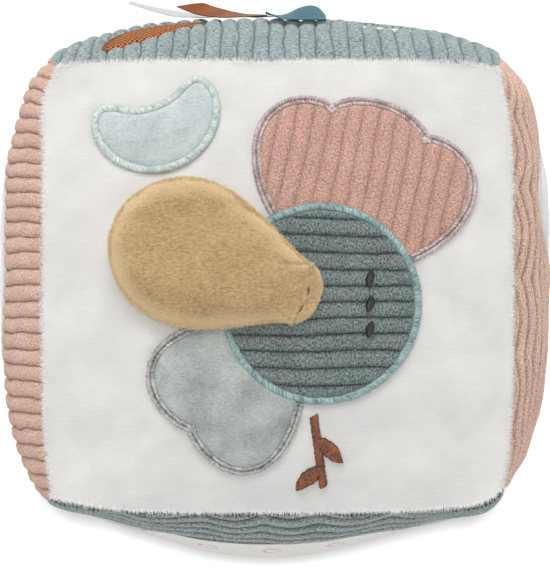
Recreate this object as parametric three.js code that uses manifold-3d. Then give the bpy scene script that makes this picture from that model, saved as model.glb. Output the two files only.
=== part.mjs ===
// Stuffed fabric block for a baby, lying on its back with the picture face up. Millimetres.
// +Z points out of the picture face, +Y towards the ribbons, +X to the right of the picture.
// The origin is the middle of the flat patch that the block lies on.

import * as THREE from "three";
import { mergeVertices } from "three/addons/utils/BufferGeometryUtils.js";
import Module from "manifold-3d";

const wasm = await Module();
wasm.setup();

// Clearances
const clearance = 0.3; // between pieces that touch on the real block
const overrun = 20; // how far a cutter runs past what it cuts

// The block's skin: half sizes at its corners, and how far each face swells past them
const halfWidth = 62.8;
const halfHeightTop = 61.9;
const halfHeightBottom = 59.5;
const halfDepth = 62;
const seamBowSides = 2.9;
const seamBowTop = 0.9;
const seamBowBottom = 4;
const cornerSwell = 4.5;
const faceRise = 1.5;
const crownLeft = 11;
const crownRight = 10.3;
const crownTop = 11.3;
const crownBottom = 12;
const crownFace = 10;
const pressedFlat = 5; // what the block's weight takes off the crown it lies on
const bowPower = 4;
const spanPower = 3.4;
const depthPower = 2.4;
const bottomPeakPower = 2.6; // the bottom swells to a peak, a little to the left of its middle
const bottomLean = 0.05;
const restLevel = halfDepth + 2 * faceRise + crownFace - pressedFlat; // from the mid-depth down to the floor

// Fabrics
const panelThickness = 1.8;
const appliqueThickness = 1.2;
const stitchHeight = 1.6;
const stitchWidth = 2.2;
const filmThickness = 0.3;
const ribbonThickness = 0.6;

// The bottom face is three pieces of fabric
const bottomStripShare = 0.74; // where its cross seams lie, as a share of the way to the corner seam

// Grid of the faces: cells across, fewer across a strip, drawn together towards the seams
const gridCells = 10;
const printCells = 8;
const stripCells = 4;
const drawnShare = 0.5;

// Flower on the picture face, measured from the middle of the face
const discX = 12;
const discY = -5;
const discRadius = 26;
const discSides = 40;
const pinkReach = 28; // past the disc's outline stitch
const pinkFromDegrees = 28;
const pinkToDegrees = 116;
const pinkLobes = 3;
const paleReach = 23;
const paleFromDegrees = 192;
const paleToDegrees = 256;
const paleLobes = 2;
const lobePoints = 9; // outline points for each lobe
const notchShare = 0.17; // of the reach, between two lobes
const lobeRoundPower = 0.5;
const fanEndPower = 5;

// Loose petal, sewn on at its root only
const flapRootX = 6;
const flapRootY = -2;
const flapDegrees = 160;
const flapLength = 55;
const flapHalfWidth = 20.5;
const flapRootShare = 0.06;
const flapPower = 1.5;
const flapTipShare = 0.996;
const flapSteps = 12;
const flapColumns = 6;
const flapPuff = 3;
const flapLift = 2.3; // of its underside over the panel
const filmInset = 3;
const flapThinShare = 0.45; // of its thickness, pressed together at the root
const flapTaperShare = 0.15; // of its length, over which it reaches its whole thickness
const tabGap = 0.95; // from the petal's root edge to the tab that is sewn down
const tabLength = 4.5;
const tabThickness = 0.7;
const petalOpenDegrees = 150;

// Crescent, its middle measured from the picture face's upper left corner
const crescentInsetX = 26.8;
const crescentInsetY = 7.9;
const crescentRadius = 13.5;
const crescentHalfWidth = 7.8;
const crescentFromDegrees = 205;
const crescentSweepDegrees = 165;
const crescentSteps = 16;

// Stem with its leaves, in brown thread
const stemTopX = 10;
const stemTopY = -36;
const stemLength = 20;
const stemDegrees = 278;
const stemHalfWidth = 1.2;
const stemSteps = 5;
const sprigLength = 9;
const sprigHalfWidth = 2.1;
const sprigShares = [0.35, 0.7]; // along the stem
const sprigDegrees = [322, 228];
const sprigSteps = 6;

// Three small black stitches on the disc, placed from its middle
const seedX = 13;
const seedPitch = 7;
const seedLength = 4.6;
const seedHalfWidth = 1.1;
const seedDegrees = 80;
const seedSteps = 5;

// Patches on the other faces. The second place is measured from the block's mid-depth.
const leftPatchY = 8.5;
const leftPatchZ = -3;
const leftPatchRadius = 33;
const rightPatchY = 24;
const rightPatchZ = 4;
const rightPatchHalfHeight = 20;
const rightPatchHalfDepth = 43;
const topRoundInset = 29.8; // from the corner
const topRoundZ = 21;
const topRoundRadius = 14;
const patchSides = 32;
const topLeafInset = 15.8; // from the corner
const topLeafZ = 49;
const topLeafDegrees = 306;
const topLeafLength = 54;
const topLeafHalfWidth = 8;
const topLeafSteps = 12;

// Ribbons, sewn on the top face by one end. The place is up from the block's mid-depth, the reach from
// root to tip, the lifts are of the tip and the middle over the root, and the seat is the root's over
// the fabric.
const ribbonWidth = 10;
const ribbonSteps = 8;
const blueRootX = 14;
const bluePlace = 31;
const blueReach = 18;
const blueTipLift = 0.8;
const blueMiddleLift = 4.4;
const brownRootX = -3;
const brownPlace = 18;
const brownReach = 28;
const brownTipLift = 3.2;
const brownMiddleLift = 4.2;
const whiteRootX = 1;
const whitePlace = 5;
const whiteReach = 45;
const whiteTipLift = 5.4;
const whiteMiddleLift = 2.2;
const lowSeat = 0.4;
const highSeat = 0.9;
const ribbons = [
  {
    name: "ribbon_blue",
    color: 0x6a96a8,
    rootX: blueRootX,
    place: bluePlace,
    reach: blueReach,
    tipLift: blueTipLift,
    middleLift: blueMiddleLift,
    seat: lowSeat,
    openDegrees: 110,
  },
  {
    name: "ribbon_brown",
    color: 0xa9683c,
    rootX: brownRootX,
    place: brownPlace,
    reach: brownReach,
    tipLift: brownTipLift,
    middleLift: brownMiddleLift,
    seat: lowSeat,
    openDegrees: 150,
  },
  {
    name: "ribbon_white",
    color: 0xf0efed,
    rootX: whiteRootX,
    place: whitePlace,
    reach: whiteReach,
    tipLift: whiteTipLift,
    middleLift: whiteMiddleLift,
    seat: highSeat,
    openDegrees: 150,
  },
];

// Rattle capsule in the middle of the filling
const capsuleRadius = 19;
const capsuleHeight = 28;
const capsuleWall = 1.6;
const capsuleLap = 3;
const capsuleSides = 24;
const ballRadius = 4;
const ballCount = 3;
const ballRingRadius = 9;
const ballSides = 10;

const seamShare = clearance / (2 * halfDepth); // half a seam's clearance

const crown = (t, power) => 1 - Math.abs(t) ** power;

const radians = (degrees) => (degrees * Math.PI) / 180;

// How far the picture face and the back bulge past the half depth.
const faceBulge = (a, b) =>
  faceRise * (crown(a, depthPower) + crown(b, depthPower)) +
  crownFace * crown(a, depthPower) * crown(b, depthPower);

// Half sizes of the skin where its seams run, for the sides and for the top or bottom.
const seamHalfX = (b) => halfWidth + seamBowSides * crown(b, bowPower);
const seamHalfY = (a, b) =>
  b > 0 ? halfHeightTop + seamBowTop * crown(a, bowPower) : halfHeightBottom + seamBowBottom * crown(a, bowPower);

// A point on the skin. a, b and c run from -1 to 1 across, up and out of the block, and one of them is
// -1 or 1. The depth is how far it lies under the fabric's outer face, and is negative above it.
function skinPoint(a, b, c, depth) {
  const corner = cornerSwell * crown(c, bowPower);
  const sideCrown = (a > 0 ? crownRight : crownLeft) * crown(b, spanPower) * crown(c, depthPower);
  const peak = crown(a + bottomLean * crown(a, 2), 2) ** bottomPeakPower;
  const endCrown = (b > 0 ? crownTop * crown(a, spanPower) : crownBottom * peak) * crown(c, depthPower);
  const x = a * (seamHalfX(b) - depth + corner + sideCrown);
  const y = b * (seamHalfY(a, b) - depth + corner + endCrown);
  const z = c * (halfDepth - depth + faceBulge(a, b));
  return new THREE.Vector3(x, y, Math.max(z + restLevel, depth));
}

const faces = {
  front: (u, v) => [u, v, 1],
  back: (u, v) => [u, v, -1],
  left: (u, v) => [-1, u, v],
  right: (u, v) => [1, u, v],
  top: (u, v) => [u, 1, v],
  bottom: (u, v) => [u, -1, v],
};

// Place of a grid line between low and high, drawn together towards the ends of a whole face.
function gridLine(step, cells, low, high) {
  const even = low + ((high - low) * step) / cells;
  return even * (1 - drawnShare) + Math.sin((even * Math.PI) / 2) * drawnShare;
}

// Closed solid from a grid of points in two layers.
function closedSheet(columns, rows, pointAt) {
  const points = [];
  for (const layer of [0, 1]) {
    for (let j = 0; j <= rows; j++) {
      for (let i = 0; i <= columns; i++) points.push(...pointAt(i, j, layer).toArray());
    }
  }
  const index = [];
  const id = (i, j, layer) => (layer * (rows + 1) + j) * (columns + 1) + i;
  const quad = (p, q, r, s) => index.push(p, q, r, p, r, s);
  for (let j = 0; j < rows; j++) {
    for (let i = 0; i < columns; i++) {
      quad(id(i, j, 0), id(i + 1, j, 0), id(i + 1, j + 1, 0), id(i, j + 1, 0));
      quad(id(i, j, 1), id(i, j + 1, 1), id(i + 1, j + 1, 1), id(i + 1, j, 1));
    }
  }
  for (let i = 0; i < columns; i++) {
    quad(id(i + 1, 0, 0), id(i, 0, 0), id(i, 0, 1), id(i + 1, 0, 1));
    quad(id(i, rows, 0), id(i + 1, rows, 0), id(i + 1, rows, 1), id(i, rows, 1));
  }
  for (let j = 0; j < rows; j++) {
    quad(id(0, j, 0), id(0, j + 1, 0), id(0, j + 1, 1), id(0, j, 1));
    quad(id(columns, j + 1, 0), id(columns, j, 0), id(columns, j, 1), id(columns, j + 1, 1));
  }
  return facingOut(geometryOf(points, index));
}

function geometryOf(points, index) {
  const geometry = new THREE.BufferGeometry();
  geometry.setAttribute("position", new THREE.Float32BufferAttribute(points, 3));
  geometry.setIndex(index);
  return geometry;
}

// Turns a closed geometry's triangles round where they face inwards.
function facingOut(geometry) {
  const position = geometry.getAttribute("position");
  const index = geometry.getIndex().array;
  const corner = [new THREE.Vector3(), new THREE.Vector3(), new THREE.Vector3()];
  let volume = 0;
  for (let i = 0; i < index.length; i += 3) {
    corner.forEach((point, k) => point.fromBufferAttribute(position, index[i + k]));
    volume += corner[0].dot(corner[1].clone().cross(corner[2]));
  }
  if (volume < 0) geometry.setIndex([...index].reverse());
  return geometry;
}

// Booleans
function toSolid(geometry) {
  const bare = new THREE.BufferGeometry().setAttribute("position", geometry.getAttribute("position"));
  if (geometry.index) bare.setIndex(geometry.index);
  const merged = mergeVertices(bare, clearance / 1000);
  return new wasm.Manifold(
    new wasm.Mesh({
      numProp: 3,
      vertProperties: merged.getAttribute("position").array,
      triVerts: new Uint32Array(merged.getIndex().array),
    }),
  );
}

function toGeometry(solid) {
  const mesh = solid.getMesh();
  return geometryOf([...mesh.vertProperties], [...mesh.triVerts]);
}

// A stretch of one face of the block, as a sheet between two depths.
function faceSheet(face, outerDepth, innerDepth, vLow = -1, vHigh = 1, rows = gridCells) {
  const whole = vHigh - vLow === 2;
  return closedSheet(gridCells, rows, (i, j, layer) => {
    const u = gridLine(i, gridCells, -1, 1) * (1 - seamShare);
    const v = whole ? gridLine(j, rows, -1, 1) * (1 - seamShare) : vLow + ((vHigh - vLow) * j) / rows;
    return skinPoint(...faces[face](u, v), layer ? innerDepth : outerDepth);
  });
}

// The whole skin at one depth, as one closed solid.
function wholeSkin(depth) {
  const points = [];
  const index = [];
  for (const at of Object.values(faces)) {
    const first = points.length / 3;
    for (let j = 0; j <= gridCells; j++) {
      for (let i = 0; i <= gridCells; i++) {
        const u = gridLine(i, gridCells, -1, 1);
        const v = gridLine(j, gridCells, -1, 1);
        points.push(...skinPoint(...at(u, v), depth).toArray());
      }
    }
    const flip = [faces.back, faces.left, faces.top].includes(at);
    for (let j = 0; j < gridCells; j++) {
      for (let i = 0; i < gridCells; i++) {
        const p = first + j * (gridCells + 1) + i;
        const q = p + 1;
        const r = q + gridCells + 1;
        const s = r - 1;
        index.push(...(flip ? [p, s, r, p, r, q] : [p, q, r, p, r, s]));
      }
    }
  }
  return facingOut(geometryOf(points, index));
}

// Outlines are lists of THREE.Vector2 that run once round a shape.
function ellipse(x, y, radiusX, radiusY, sides) {
  return Array.from({ length: sides }, (_, k) => {
    const angle = (2 * Math.PI * k) / sides;
    return new THREE.Vector2(x + radiusX * Math.cos(angle), y + radiusY * Math.sin(angle));
  });
}

// Outline of a strip along a spine, with its half width at each share of its length.
function strip(spine, halfWidthAt, steps) {
  const left = [];
  const right = [];
  for (let k = 0; k <= steps; k++) {
    const share = (1 - Math.cos((Math.PI * k) / steps)) / 2;
    const { point, across } = spine(share);
    const half = halfWidthAt(share);
    left.push(point.clone().addScaledVector(across, half));
    if (half > clearance) right.push(point.clone().addScaledVector(across, -half));
  }
  return [...left, ...right.reverse()];
}

function straightSpine(x, y, degrees, length) {
  const along = new THREE.Vector2(Math.cos(radians(degrees)), Math.sin(radians(degrees)));
  const across = new THREE.Vector2(-along.y, along.x);
  return (share) => ({ point: new THREE.Vector2(x, y).addScaledVector(along, share * length), across });
}

function arcSpine(x, y, radius, fromDegrees, sweepDegrees) {
  return (share) => {
    const angle = radians(fromDegrees + share * sweepDegrees);
    const across = new THREE.Vector2(-Math.cos(angle), -Math.sin(angle));
    return { point: new THREE.Vector2(x, y).addScaledVector(across, -radius), across };
  };
}

// Half width of a leaf that is pointed or round at both ends, and of a petal with a broad tip.
const leafHalf = (half, power) => (share) => half * Math.sin(Math.PI * share) ** power;
const flapHalf = (half) => (share) =>
  half * Math.sqrt(Math.sin(Math.PI * (flapRootShare + (1 - flapRootShare) * share ** flapPower)));

// The outer edge of a fan of lobes round the disc, from one end to the other.
function fanEdge(inner, reach, fromDegrees, toDegrees, lobes) {
  const steps = lobes * lobePoints;
  return Array.from({ length: steps + 1 }, (_, k) => {
    const share = (1 - Math.cos((Math.PI * k) / steps)) / 2;
    const end = (1 - Math.abs(2 * share - 1) ** fanEndPower) ** (1 / 2);
    const lobe = Math.abs(Math.sin(lobes * Math.PI * share)) ** lobeRoundPower;
    const radius = inner + reach * end * (1 - notchShare * (1 - lobe));
    const angle = radians(fromDegrees + (toDegrees - fromDegrees) * share);
    return new THREE.Vector2(discX + radius * Math.cos(angle), discY + radius * Math.sin(angle));
  });
}

// The edge moved outwards by a distance: to the right of its direction, or for a closed outline out of it.
function offsetEdge(edge, distance, closed) {
  const count = edge.length;
  return edge.map((point, k) => {
    const before = edge[closed ? (k + count - 1) % count : Math.max(k - 1, 0)];
    const after = edge[closed ? (k + 1) % count : Math.min(k + 1, count - 1)];
    const along = after.clone().sub(before).normalize();
    return point.clone().add(new THREE.Vector2(along.y, -along.x).multiplyScalar(distance));
  });
}

// Straight cutter of an outline through one pair of faces. The outline of the side faces is up and deep,
// and that of the top and bottom across and deep, with its depth measured from the block's mid-depth.
function cutter(face, outline, hole) {
  const deep = face === "front" || face === "back" ? 0 : restLevel;
  const placed = (points) => points.map((point) => new THREE.Vector2(point.x, point.y + deep));
  const shape = new THREE.Shape(placed(outline));
  if (hole) shape.holes.push(new THREE.Path(placed(hole)));
  const reach = 2 * (restLevel + overrun);
  const prism = new THREE.ExtrudeGeometry(shape, { depth: 2 * reach, bevelEnabled: false, steps: 1 });
  prism.translate(0, 0, -reach);
  const [x, y, z] = [new THREE.Vector3(1, 0, 0), new THREE.Vector3(0, 1, 0), new THREE.Vector3(0, 0, 1)];
  const turn = new THREE.Matrix4();
  if (face === "left" || face === "right") turn.makeBasis(y, z, x);
  if (face === "top" || face === "bottom") turn.makeBasis(x, z, y.negate());
  return toSolid(prism.applyMatrix4(turn));
}

// The block
const block = new THREE.Group();
const fabric = (color) => new THREE.MeshStandardMaterial({ color, roughness: 0.95, metalness: 0 });
const thread = (color) => new THREE.MeshStandardMaterial({ color, roughness: 0.55, metalness: 0 });
const whitePlush = fabric(0xebeae7);
const pinkCorduroy = fabric(0xc8a495);
const blueCorduroy = fabric(0x8a9a9a);
const printedCotton = fabric(0xe6e1da);
const paleVelour = fabric(0xbfccd0);
const mustardPlush = fabric(0xc4a068);
const brownTwill = fabric(0x7a4a30);
const aquaThread = thread(0x9fbcbb);
const mauveThread = thread(0xb8a3a2);
const silverThread = thread(0xb4b9b8);
const mintThread = thread(0xd3dfdc);
const brownThread = thread(0x6e4128);
const blackThread = thread(0x181819);

function addPiece(name, geometry, material, parent = block) {
  const mesh = new THREE.Mesh(geometry, material);
  mesh.name = name;
  parent.add(mesh);
  return mesh;
}

// Panels
addPiece("picture_panel", faceSheet("front", 0, panelThickness), whitePlush);
addPiece("back_panel", faceSheet("back", 0, panelThickness), whitePlush);
addPiece("left_panel", faceSheet("left", 0, panelThickness), pinkCorduroy);
addPiece("right_panel", faceSheet("right", 0, panelThickness), pinkCorduroy);
addPiece("top_panel", faceSheet("top", 0, panelThickness), blueCorduroy);
const bottomPiece = (low, high, rows) => faceSheet("bottom", 0, panelThickness, low, high, rows);
const stripFrom = bottomStripShare + seamShare;
const stripTo = 1 - seamShare;
const printTo = bottomStripShare - seamShare;
addPiece("bottom_front_strip", bottomPiece(stripFrom, stripTo, stripCells), blueCorduroy);
addPiece("bottom_print_panel", bottomPiece(-printTo, printTo, printCells), printedCotton);
addPiece("bottom_back_strip", bottomPiece(-stripTo, -stripFrom, stripCells), blueCorduroy);

// Filling, in two halves round the rattle capsule
const capsuleMiddle = restLevel;
const pocket = new THREE.CylinderGeometry(
  capsuleRadius + clearance,
  capsuleRadius + clearance,
  capsuleHeight + 2 * clearance,
  capsuleSides,
);
pocket.rotateX(Math.PI / 2).translate(0, 0, capsuleMiddle);
const filling = toSolid(wholeSkin(panelThickness + clearance)).subtract(toSolid(pocket));
const fillingSpan = 4 * restLevel;
for (const [name, side] of [["filling_front", 1], ["filling_back", -1]]) {
  const half = new THREE.BoxGeometry(fillingSpan, fillingSpan, fillingSpan);
  half.translate(0, 0, restLevel + side * (fillingSpan / 2 + clearance / 2));
  addPiece(name, toGeometry(filling.intersect(toSolid(half))), fabric(0xf4f3f0));
}

// Rattle capsule: a cup and a lid that laps inside its rim, with loose balls on its floor
const rattlePlastic = new THREE.MeshStandardMaterial({ color: 0xe9e4d8, roughness: 0.4, metalness: 0 });
const capsuleBottom = capsuleMiddle - capsuleHeight / 2;
const capsuleTop = capsuleMiddle + capsuleHeight / 2;
const rimInner = capsuleRadius - capsuleWall / 2;
const lidSkirt = rimInner - clearance;
const innerRadius = capsuleRadius - 2 * capsuleWall;
const cupProfile = [
  [0, capsuleBottom],
  [capsuleRadius, capsuleBottom],
  [capsuleRadius, capsuleMiddle],
  [rimInner, capsuleMiddle],
  [rimInner, capsuleMiddle - capsuleLap],
  [innerRadius, capsuleMiddle - capsuleLap],
  [innerRadius, capsuleBottom + capsuleWall],
  [0, capsuleBottom + capsuleWall],
];
const lidProfile = [
  [0, capsuleTop - capsuleWall],
  [innerRadius, capsuleTop - capsuleWall],
  [innerRadius, capsuleMiddle - capsuleLap + clearance],
  [lidSkirt, capsuleMiddle - capsuleLap + clearance],
  [lidSkirt, capsuleMiddle + clearance],
  [capsuleRadius, capsuleMiddle + clearance],
  [capsuleRadius, capsuleTop],
  [0, capsuleTop],
];
for (const [name, profile] of [["rattle_cup", cupProfile], ["rattle_lid", lidProfile]]) {
  const turned = new THREE.LatheGeometry(profile.map(([r, z]) => new THREE.Vector2(r, z)), capsuleSides);
  addPiece(name, toGeometry(toSolid(turned.rotateX(Math.PI / 2))), rattlePlastic);
}
for (let k = 0; k < ballCount; k++) {
  const angle = (2 * Math.PI * k) / ballCount;
  const ball = new THREE.SphereGeometry(ballRadius, ballSides, ballSides / 2);
  const placed = addPiece("rattle_ball_" + (k + 1), toGeometry(toSolid(ball)), rattlePlastic);
  const floor = capsuleBottom + capsuleWall + clearance + ballRadius;
  placed.position.set(ballRingRadius * Math.cos(angle), ballRingRadius * Math.sin(angle), floor);
  const travel = capsuleHeight - 2 * (capsuleWall + clearance + ballRadius);
  placed.userData.slidesAlong = { axis: [0, 0, 1], range: [0, travel] };
}

// Sewn-on pieces: a sheet that follows the face, cut to its outline
function sewnOn(name, face, cut, lowLift, highLift, material) {
  const sheet = toSolid(faceSheet(face, -highLift, -lowLift));
  addPiece(name, toGeometry(sheet.intersect(cut)), material);
}

function patch(name, face, outline, material) {
  sewnOn(name, face, cutter(face, outline), clearance, clearance + appliqueThickness, material);
}

// Satin stitch round a closed outline.
function stitchedOutline(name, face, outline, material) {
  const inner = offsetEdge(outline, clearance, true);
  const outer = offsetEdge(outline, clearance + stitchWidth, true);
  sewnOn(name, face, cutter(face, outer, inner), clearance, clearance + stitchHeight, material);
}

const discOutline = ellipse(discX, discY, discRadius, discRadius, discSides);
patch("flower_disc", "front", discOutline, blueCorduroy);
stitchedOutline("flower_disc_stitching", "front", discOutline, aquaThread);

// Fans of lobes that tuck under the disc's stitching, with satin stitch along their outer edge
const fanInner = discRadius + stitchWidth + 2 * clearance;
function fan(name, reach, fromDegrees, toDegrees, lobes, cloth, yarn) {
  const edge = fanEdge(fanInner, reach, fromDegrees, toDegrees, lobes);
  const innerSteps = lobes * lobePoints;
  const root = Array.from({ length: innerSteps - 1 }, (_, k) => {
    const angle = radians(toDegrees + ((fromDegrees - toDegrees) * (k + 1)) / innerSteps);
    return new THREE.Vector2(discX + fanInner * Math.cos(angle), discY + fanInner * Math.sin(angle));
  });
  patch(name, "front", [...edge, ...root], cloth);
  const near = offsetEdge(edge, clearance, false);
  const far = offsetEdge(edge, clearance + stitchWidth, false);
  const disc = cutter("front", ellipse(discX, discY, fanInner, fanInner, discSides));
  const band = cutter("front", [...near, ...far.reverse()]).subtract(disc);
  sewnOn(name + "_stitching", "front", band, clearance, clearance + stitchHeight, yarn);
}
fan("pink_petals", pinkReach, pinkFromDegrees, pinkToDegrees, pinkLobes, pinkCorduroy, mauveThread);
fan("pale_petals", paleReach, paleFromDegrees, paleToDegrees, paleLobes, paleVelour, silverThread);

const crescentX = crescentInsetX - halfWidth;
const crescentY = halfHeightTop - crescentInsetY;
const crescentSpine = arcSpine(crescentX, crescentY, crescentRadius, crescentFromDegrees, crescentSweepDegrees);
const crescentOutline = strip(crescentSpine, leafHalf(crescentHalfWidth, 1 / 2), crescentSteps).reverse();
patch("crescent", "front", crescentOutline, paleVelour);
stitchedOutline("crescent_stitching", "front", crescentOutline, mintThread);

// Stem and sprigs, one piece of embroidery
const stemSpine = straightSpine(stemTopX, stemTopY, stemDegrees, stemLength);
let embroidery = cutter("front", strip(stemSpine, () => stemHalfWidth, stemSteps));
sprigShares.forEach((share, k) => {
  const root = stemSpine(share).point;
  const spine = straightSpine(root.x, root.y, sprigDegrees[k], sprigLength);
  embroidery = embroidery.add(cutter("front", strip(spine, leafHalf(sprigHalfWidth, 1 / 2), sprigSteps)));
});
sewnOn("stem_embroidery", "front", embroidery, clearance, clearance + stitchHeight, brownThread);

const seedLift = appliqueThickness + 2 * clearance;
for (const k of [-1, 0, 1]) {
  const spine = straightSpine(discX + seedX, discY + k * seedPitch - seedLength / 2, seedDegrees, seedLength);
  const cut = cutter("front", strip(spine, leafHalf(seedHalfWidth, 1 / 2), seedSteps));
  sewnOn("seed_stitch_" + (k + 2), "front", cut, seedLift, seedLift + stitchHeight / 2, blackThread);
}

const leftOutline = ellipse(leftPatchY, leftPatchZ, leftPatchRadius, leftPatchRadius, patchSides);
const rightOutline = ellipse(rightPatchY, rightPatchZ, rightPatchHalfHeight, rightPatchHalfDepth, patchSides);
const roundOutline = ellipse(halfWidth - topRoundInset, topRoundZ, topRoundRadius, topRoundRadius, patchSides);
const leafSpine = straightSpine(topLeafInset - halfWidth, topLeafZ, topLeafDegrees, topLeafLength);
const leafOutline = strip(leafSpine, leafHalf(topLeafHalfWidth, 1), topLeafSteps).reverse();
for (const [name, face, outline, cloth, yarn] of [
  ["left_patch", "left", leftOutline, whitePlush, silverThread],
  ["right_patch", "right", rightOutline, whitePlush, silverThread],
  ["top_round_patch", "top", roundOutline, whitePlush, silverThread],
  ["top_leaf_patch", "top", leafOutline, brownTwill, brownThread],
]) {
  patch(name, face, outline, cloth);
  stitchedOutline(name + "_stitching", face, outline, yarn);
}

// Height of the picture face's outer surface over a point of the plan.
function faceHeight(x, y) {
  let a = x / halfWidth;
  let b = y / halfHeightTop;
  for (let turn = 0; turn < 6; turn++) {
    a = x / seamHalfX(b);
    b = y / seamHalfY(a, b);
  }
  return restLevel + halfDepth + faceBulge(a, b);
}

// Loose petal: two plies with a film between them, over the face. A ply is a grid from root to tip.
const flapSpine = straightSpine(flapRootX, flapRootY, flapDegrees, flapLength);
const flapTaper = (along) => Math.sin((Math.PI / 2) * Math.min(along / flapTaperShare, 1));
const flapThick = (along, height) => height * (flapThinShare + (1 - flapThinShare) * flapTaper(along));
const petal = new THREE.Group();
block.add(petal);
function ply(name, inset, lowLift, highLift, puff, material) {
  const geometry = closedSheet(flapColumns, flapSteps, (i, j, layer) => {
    const share = (flapTipShare * (1 - Math.cos((Math.PI * j) / flapSteps))) / 2;
    const along = inset / flapLength + share * (1 - (2 * inset) / flapLength);
    const { point, across } = flapSpine(along);
    const side = (2 * i) / flapColumns - 1;
    const half = flapHalf(flapHalfWidth - inset)(share);
    const place = point.addScaledVector(across, half * side);
    const swell = layer ? 0 : puff * (1 - side ** 2) * Math.sin(Math.PI * share) * flapTaper(along);
    const lift = flapThick(along, (layer ? lowLift : highLift) - flapLift) + swell;
    return new THREE.Vector3(place.x, place.y, faceHeight(place.x, place.y) + flapLift + lift);
  });
  addPiece(name, geometry, material, petal);
}
const filmLift = flapLift + appliqueThickness + clearance;
const frontPlyLift = filmLift + filmThickness + clearance;
const film = new THREE.MeshStandardMaterial({ color: 0xdfe3e4, roughness: 0.25, metalness: 0 });
ply("flap_back_ply", 0, flapLift, flapLift + appliqueThickness, 0, mustardPlush);
ply("flap_crinkle_film", filmInset, filmLift, filmLift + filmThickness, 0, film);
ply("flap_front_ply", 0, frontPlyLift, frontPlyLift + appliqueThickness, flapPuff, mustardPlush);

// The petal turns about its root edge, half way up its thickness there.
const rootThickness = flapThick(0, frontPlyLift + appliqueThickness - flapLift);
petal.userData.turnsAbout = {
  point: [flapRootX, flapRootY, faceHeight(flapRootX, flapRootY) + flapLift + rootThickness / 2],
  axis: [Math.sin(radians(flapDegrees)), -Math.cos(radians(flapDegrees)), 0],
  degrees: [0, petalOpenDegrees],
};

// Tab behind the petal's root, sewn down on the disc
const tabSpine = straightSpine(flapRootX, flapRootY, flapDegrees + 180, tabGap + tabLength);
const tabNear = tabGap / (tabGap + tabLength);
const tabOutline = [[tabNear, 1], [1, 1], [1, -1], [tabNear, -1]].map(([share, side]) => {
  const { point, across } = tabSpine(share);
  return point.addScaledVector(across, flapHalf(flapHalfWidth)(0) * side);
});
sewnOn("flap_root_tab", "front", cutter("front", tabOutline), seedLift, seedLift + tabThickness, mustardPlush);

// Ribbons: a curved band in the plan, as wide as the ribbon in depth
function topHeight(x, place) {
  const c = place / (halfDepth + faceRise);
  const a = x / (halfWidth + cornerSwell * crown(c, bowPower));
  return skinPoint(a, 1, c, 0).y;
}

for (const { name, color, rootX, place, reach, tipLift, middleLift, seat, openDegrees } of ribbons) {
  const farthest = Math.abs(place) - ribbonWidth / 2;
  const rootY = topHeight(rootX, farthest) + seat;
  const curve = new THREE.QuadraticBezierCurve(
    new THREE.Vector2(rootX, rootY),
    new THREE.Vector2(rootX - reach / 2, rootY + 2 * middleLift - tipLift / 2),
    new THREE.Vector2(rootX - reach, rootY + tipLift),
  );
  const lower = curve.getPoints(ribbonSteps).reverse();
  const upper = offsetEdge(lower, ribbonThickness, false).map((point, k) => {
    return new THREE.Vector2(lower[k].x * 2 - point.x, lower[k].y * 2 - point.y);
  });
  const band = new THREE.Shape([...lower, ...upper.reverse()]);
  const geometry = new THREE.ExtrudeGeometry(band, { depth: ribbonWidth, bevelEnabled: false, steps: 1 });
  const material = new THREE.MeshStandardMaterial({ color, roughness: 0.4, metalness: 0 });
  const ribbon = addPiece(name, geometry, material);
  ribbon.position.z = restLevel + place - ribbonWidth / 2;
  ribbon.userData.turnsAbout = {
    point: [rootX, rootY + ribbonThickness / 2, restLevel + place],
    axis: [0, 0, -1],
    degrees: [0, openDegrees],
  };
}

export default block;
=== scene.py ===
"""Dresses the stuffed fabric block: ribbed, plush and printed panels, sewn-on cloth with its stitching,
the loose petal, the ribbons and the filling. Lengths are millimetres until make() turns them into metres."""

import math

import bpy
import numpy as np
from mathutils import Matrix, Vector


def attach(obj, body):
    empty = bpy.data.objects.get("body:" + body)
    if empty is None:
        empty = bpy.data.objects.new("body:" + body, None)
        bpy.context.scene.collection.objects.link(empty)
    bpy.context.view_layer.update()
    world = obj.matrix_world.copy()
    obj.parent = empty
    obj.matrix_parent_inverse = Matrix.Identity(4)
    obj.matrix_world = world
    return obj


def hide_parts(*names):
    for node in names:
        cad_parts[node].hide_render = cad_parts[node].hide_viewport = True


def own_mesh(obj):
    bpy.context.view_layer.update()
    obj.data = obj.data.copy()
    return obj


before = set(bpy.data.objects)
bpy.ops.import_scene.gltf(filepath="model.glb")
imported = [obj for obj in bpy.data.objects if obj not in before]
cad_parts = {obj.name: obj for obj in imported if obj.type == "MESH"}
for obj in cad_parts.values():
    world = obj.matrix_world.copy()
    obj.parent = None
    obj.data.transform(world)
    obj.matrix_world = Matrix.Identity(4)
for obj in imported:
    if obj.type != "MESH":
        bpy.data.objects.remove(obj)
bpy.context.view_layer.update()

MM = 0.001

# The block's skin, as in the part's source
HALF_WIDTH = 62.8
HALF_TOP = 61.9
HALF_BOTTOM = 59.5
HALF_DEPTH = 62.0
SEAM_SIDES = 2.9
SEAM_TOP = 0.9
SEAM_BOTTOM = 4.0
CORNER_SWELL = 4.5
FACE_RISE = 1.5
CROWN_LEFT = 11.0
CROWN_RIGHT = 8.6
CROWN_TOP = 11.3
CROWN_BOTTOM = 12.0
CROWN_FACE = 10.0
BOW = 4.0
SPAN = 3.4
SPAN_RIGHT = 5.0
DEEP = 2.4
DEEP_RIGHT = 5.0
BOTTOM_PEAK = 2.6
BOTTOM_LEAN = 0.05
REST = 70.0
STRIP_SHARE = 0.67
PANEL = 1.8
# The panels' cloth goes this deep in the visual model
PANEL_DEEP = PANEL + 0.45

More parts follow.
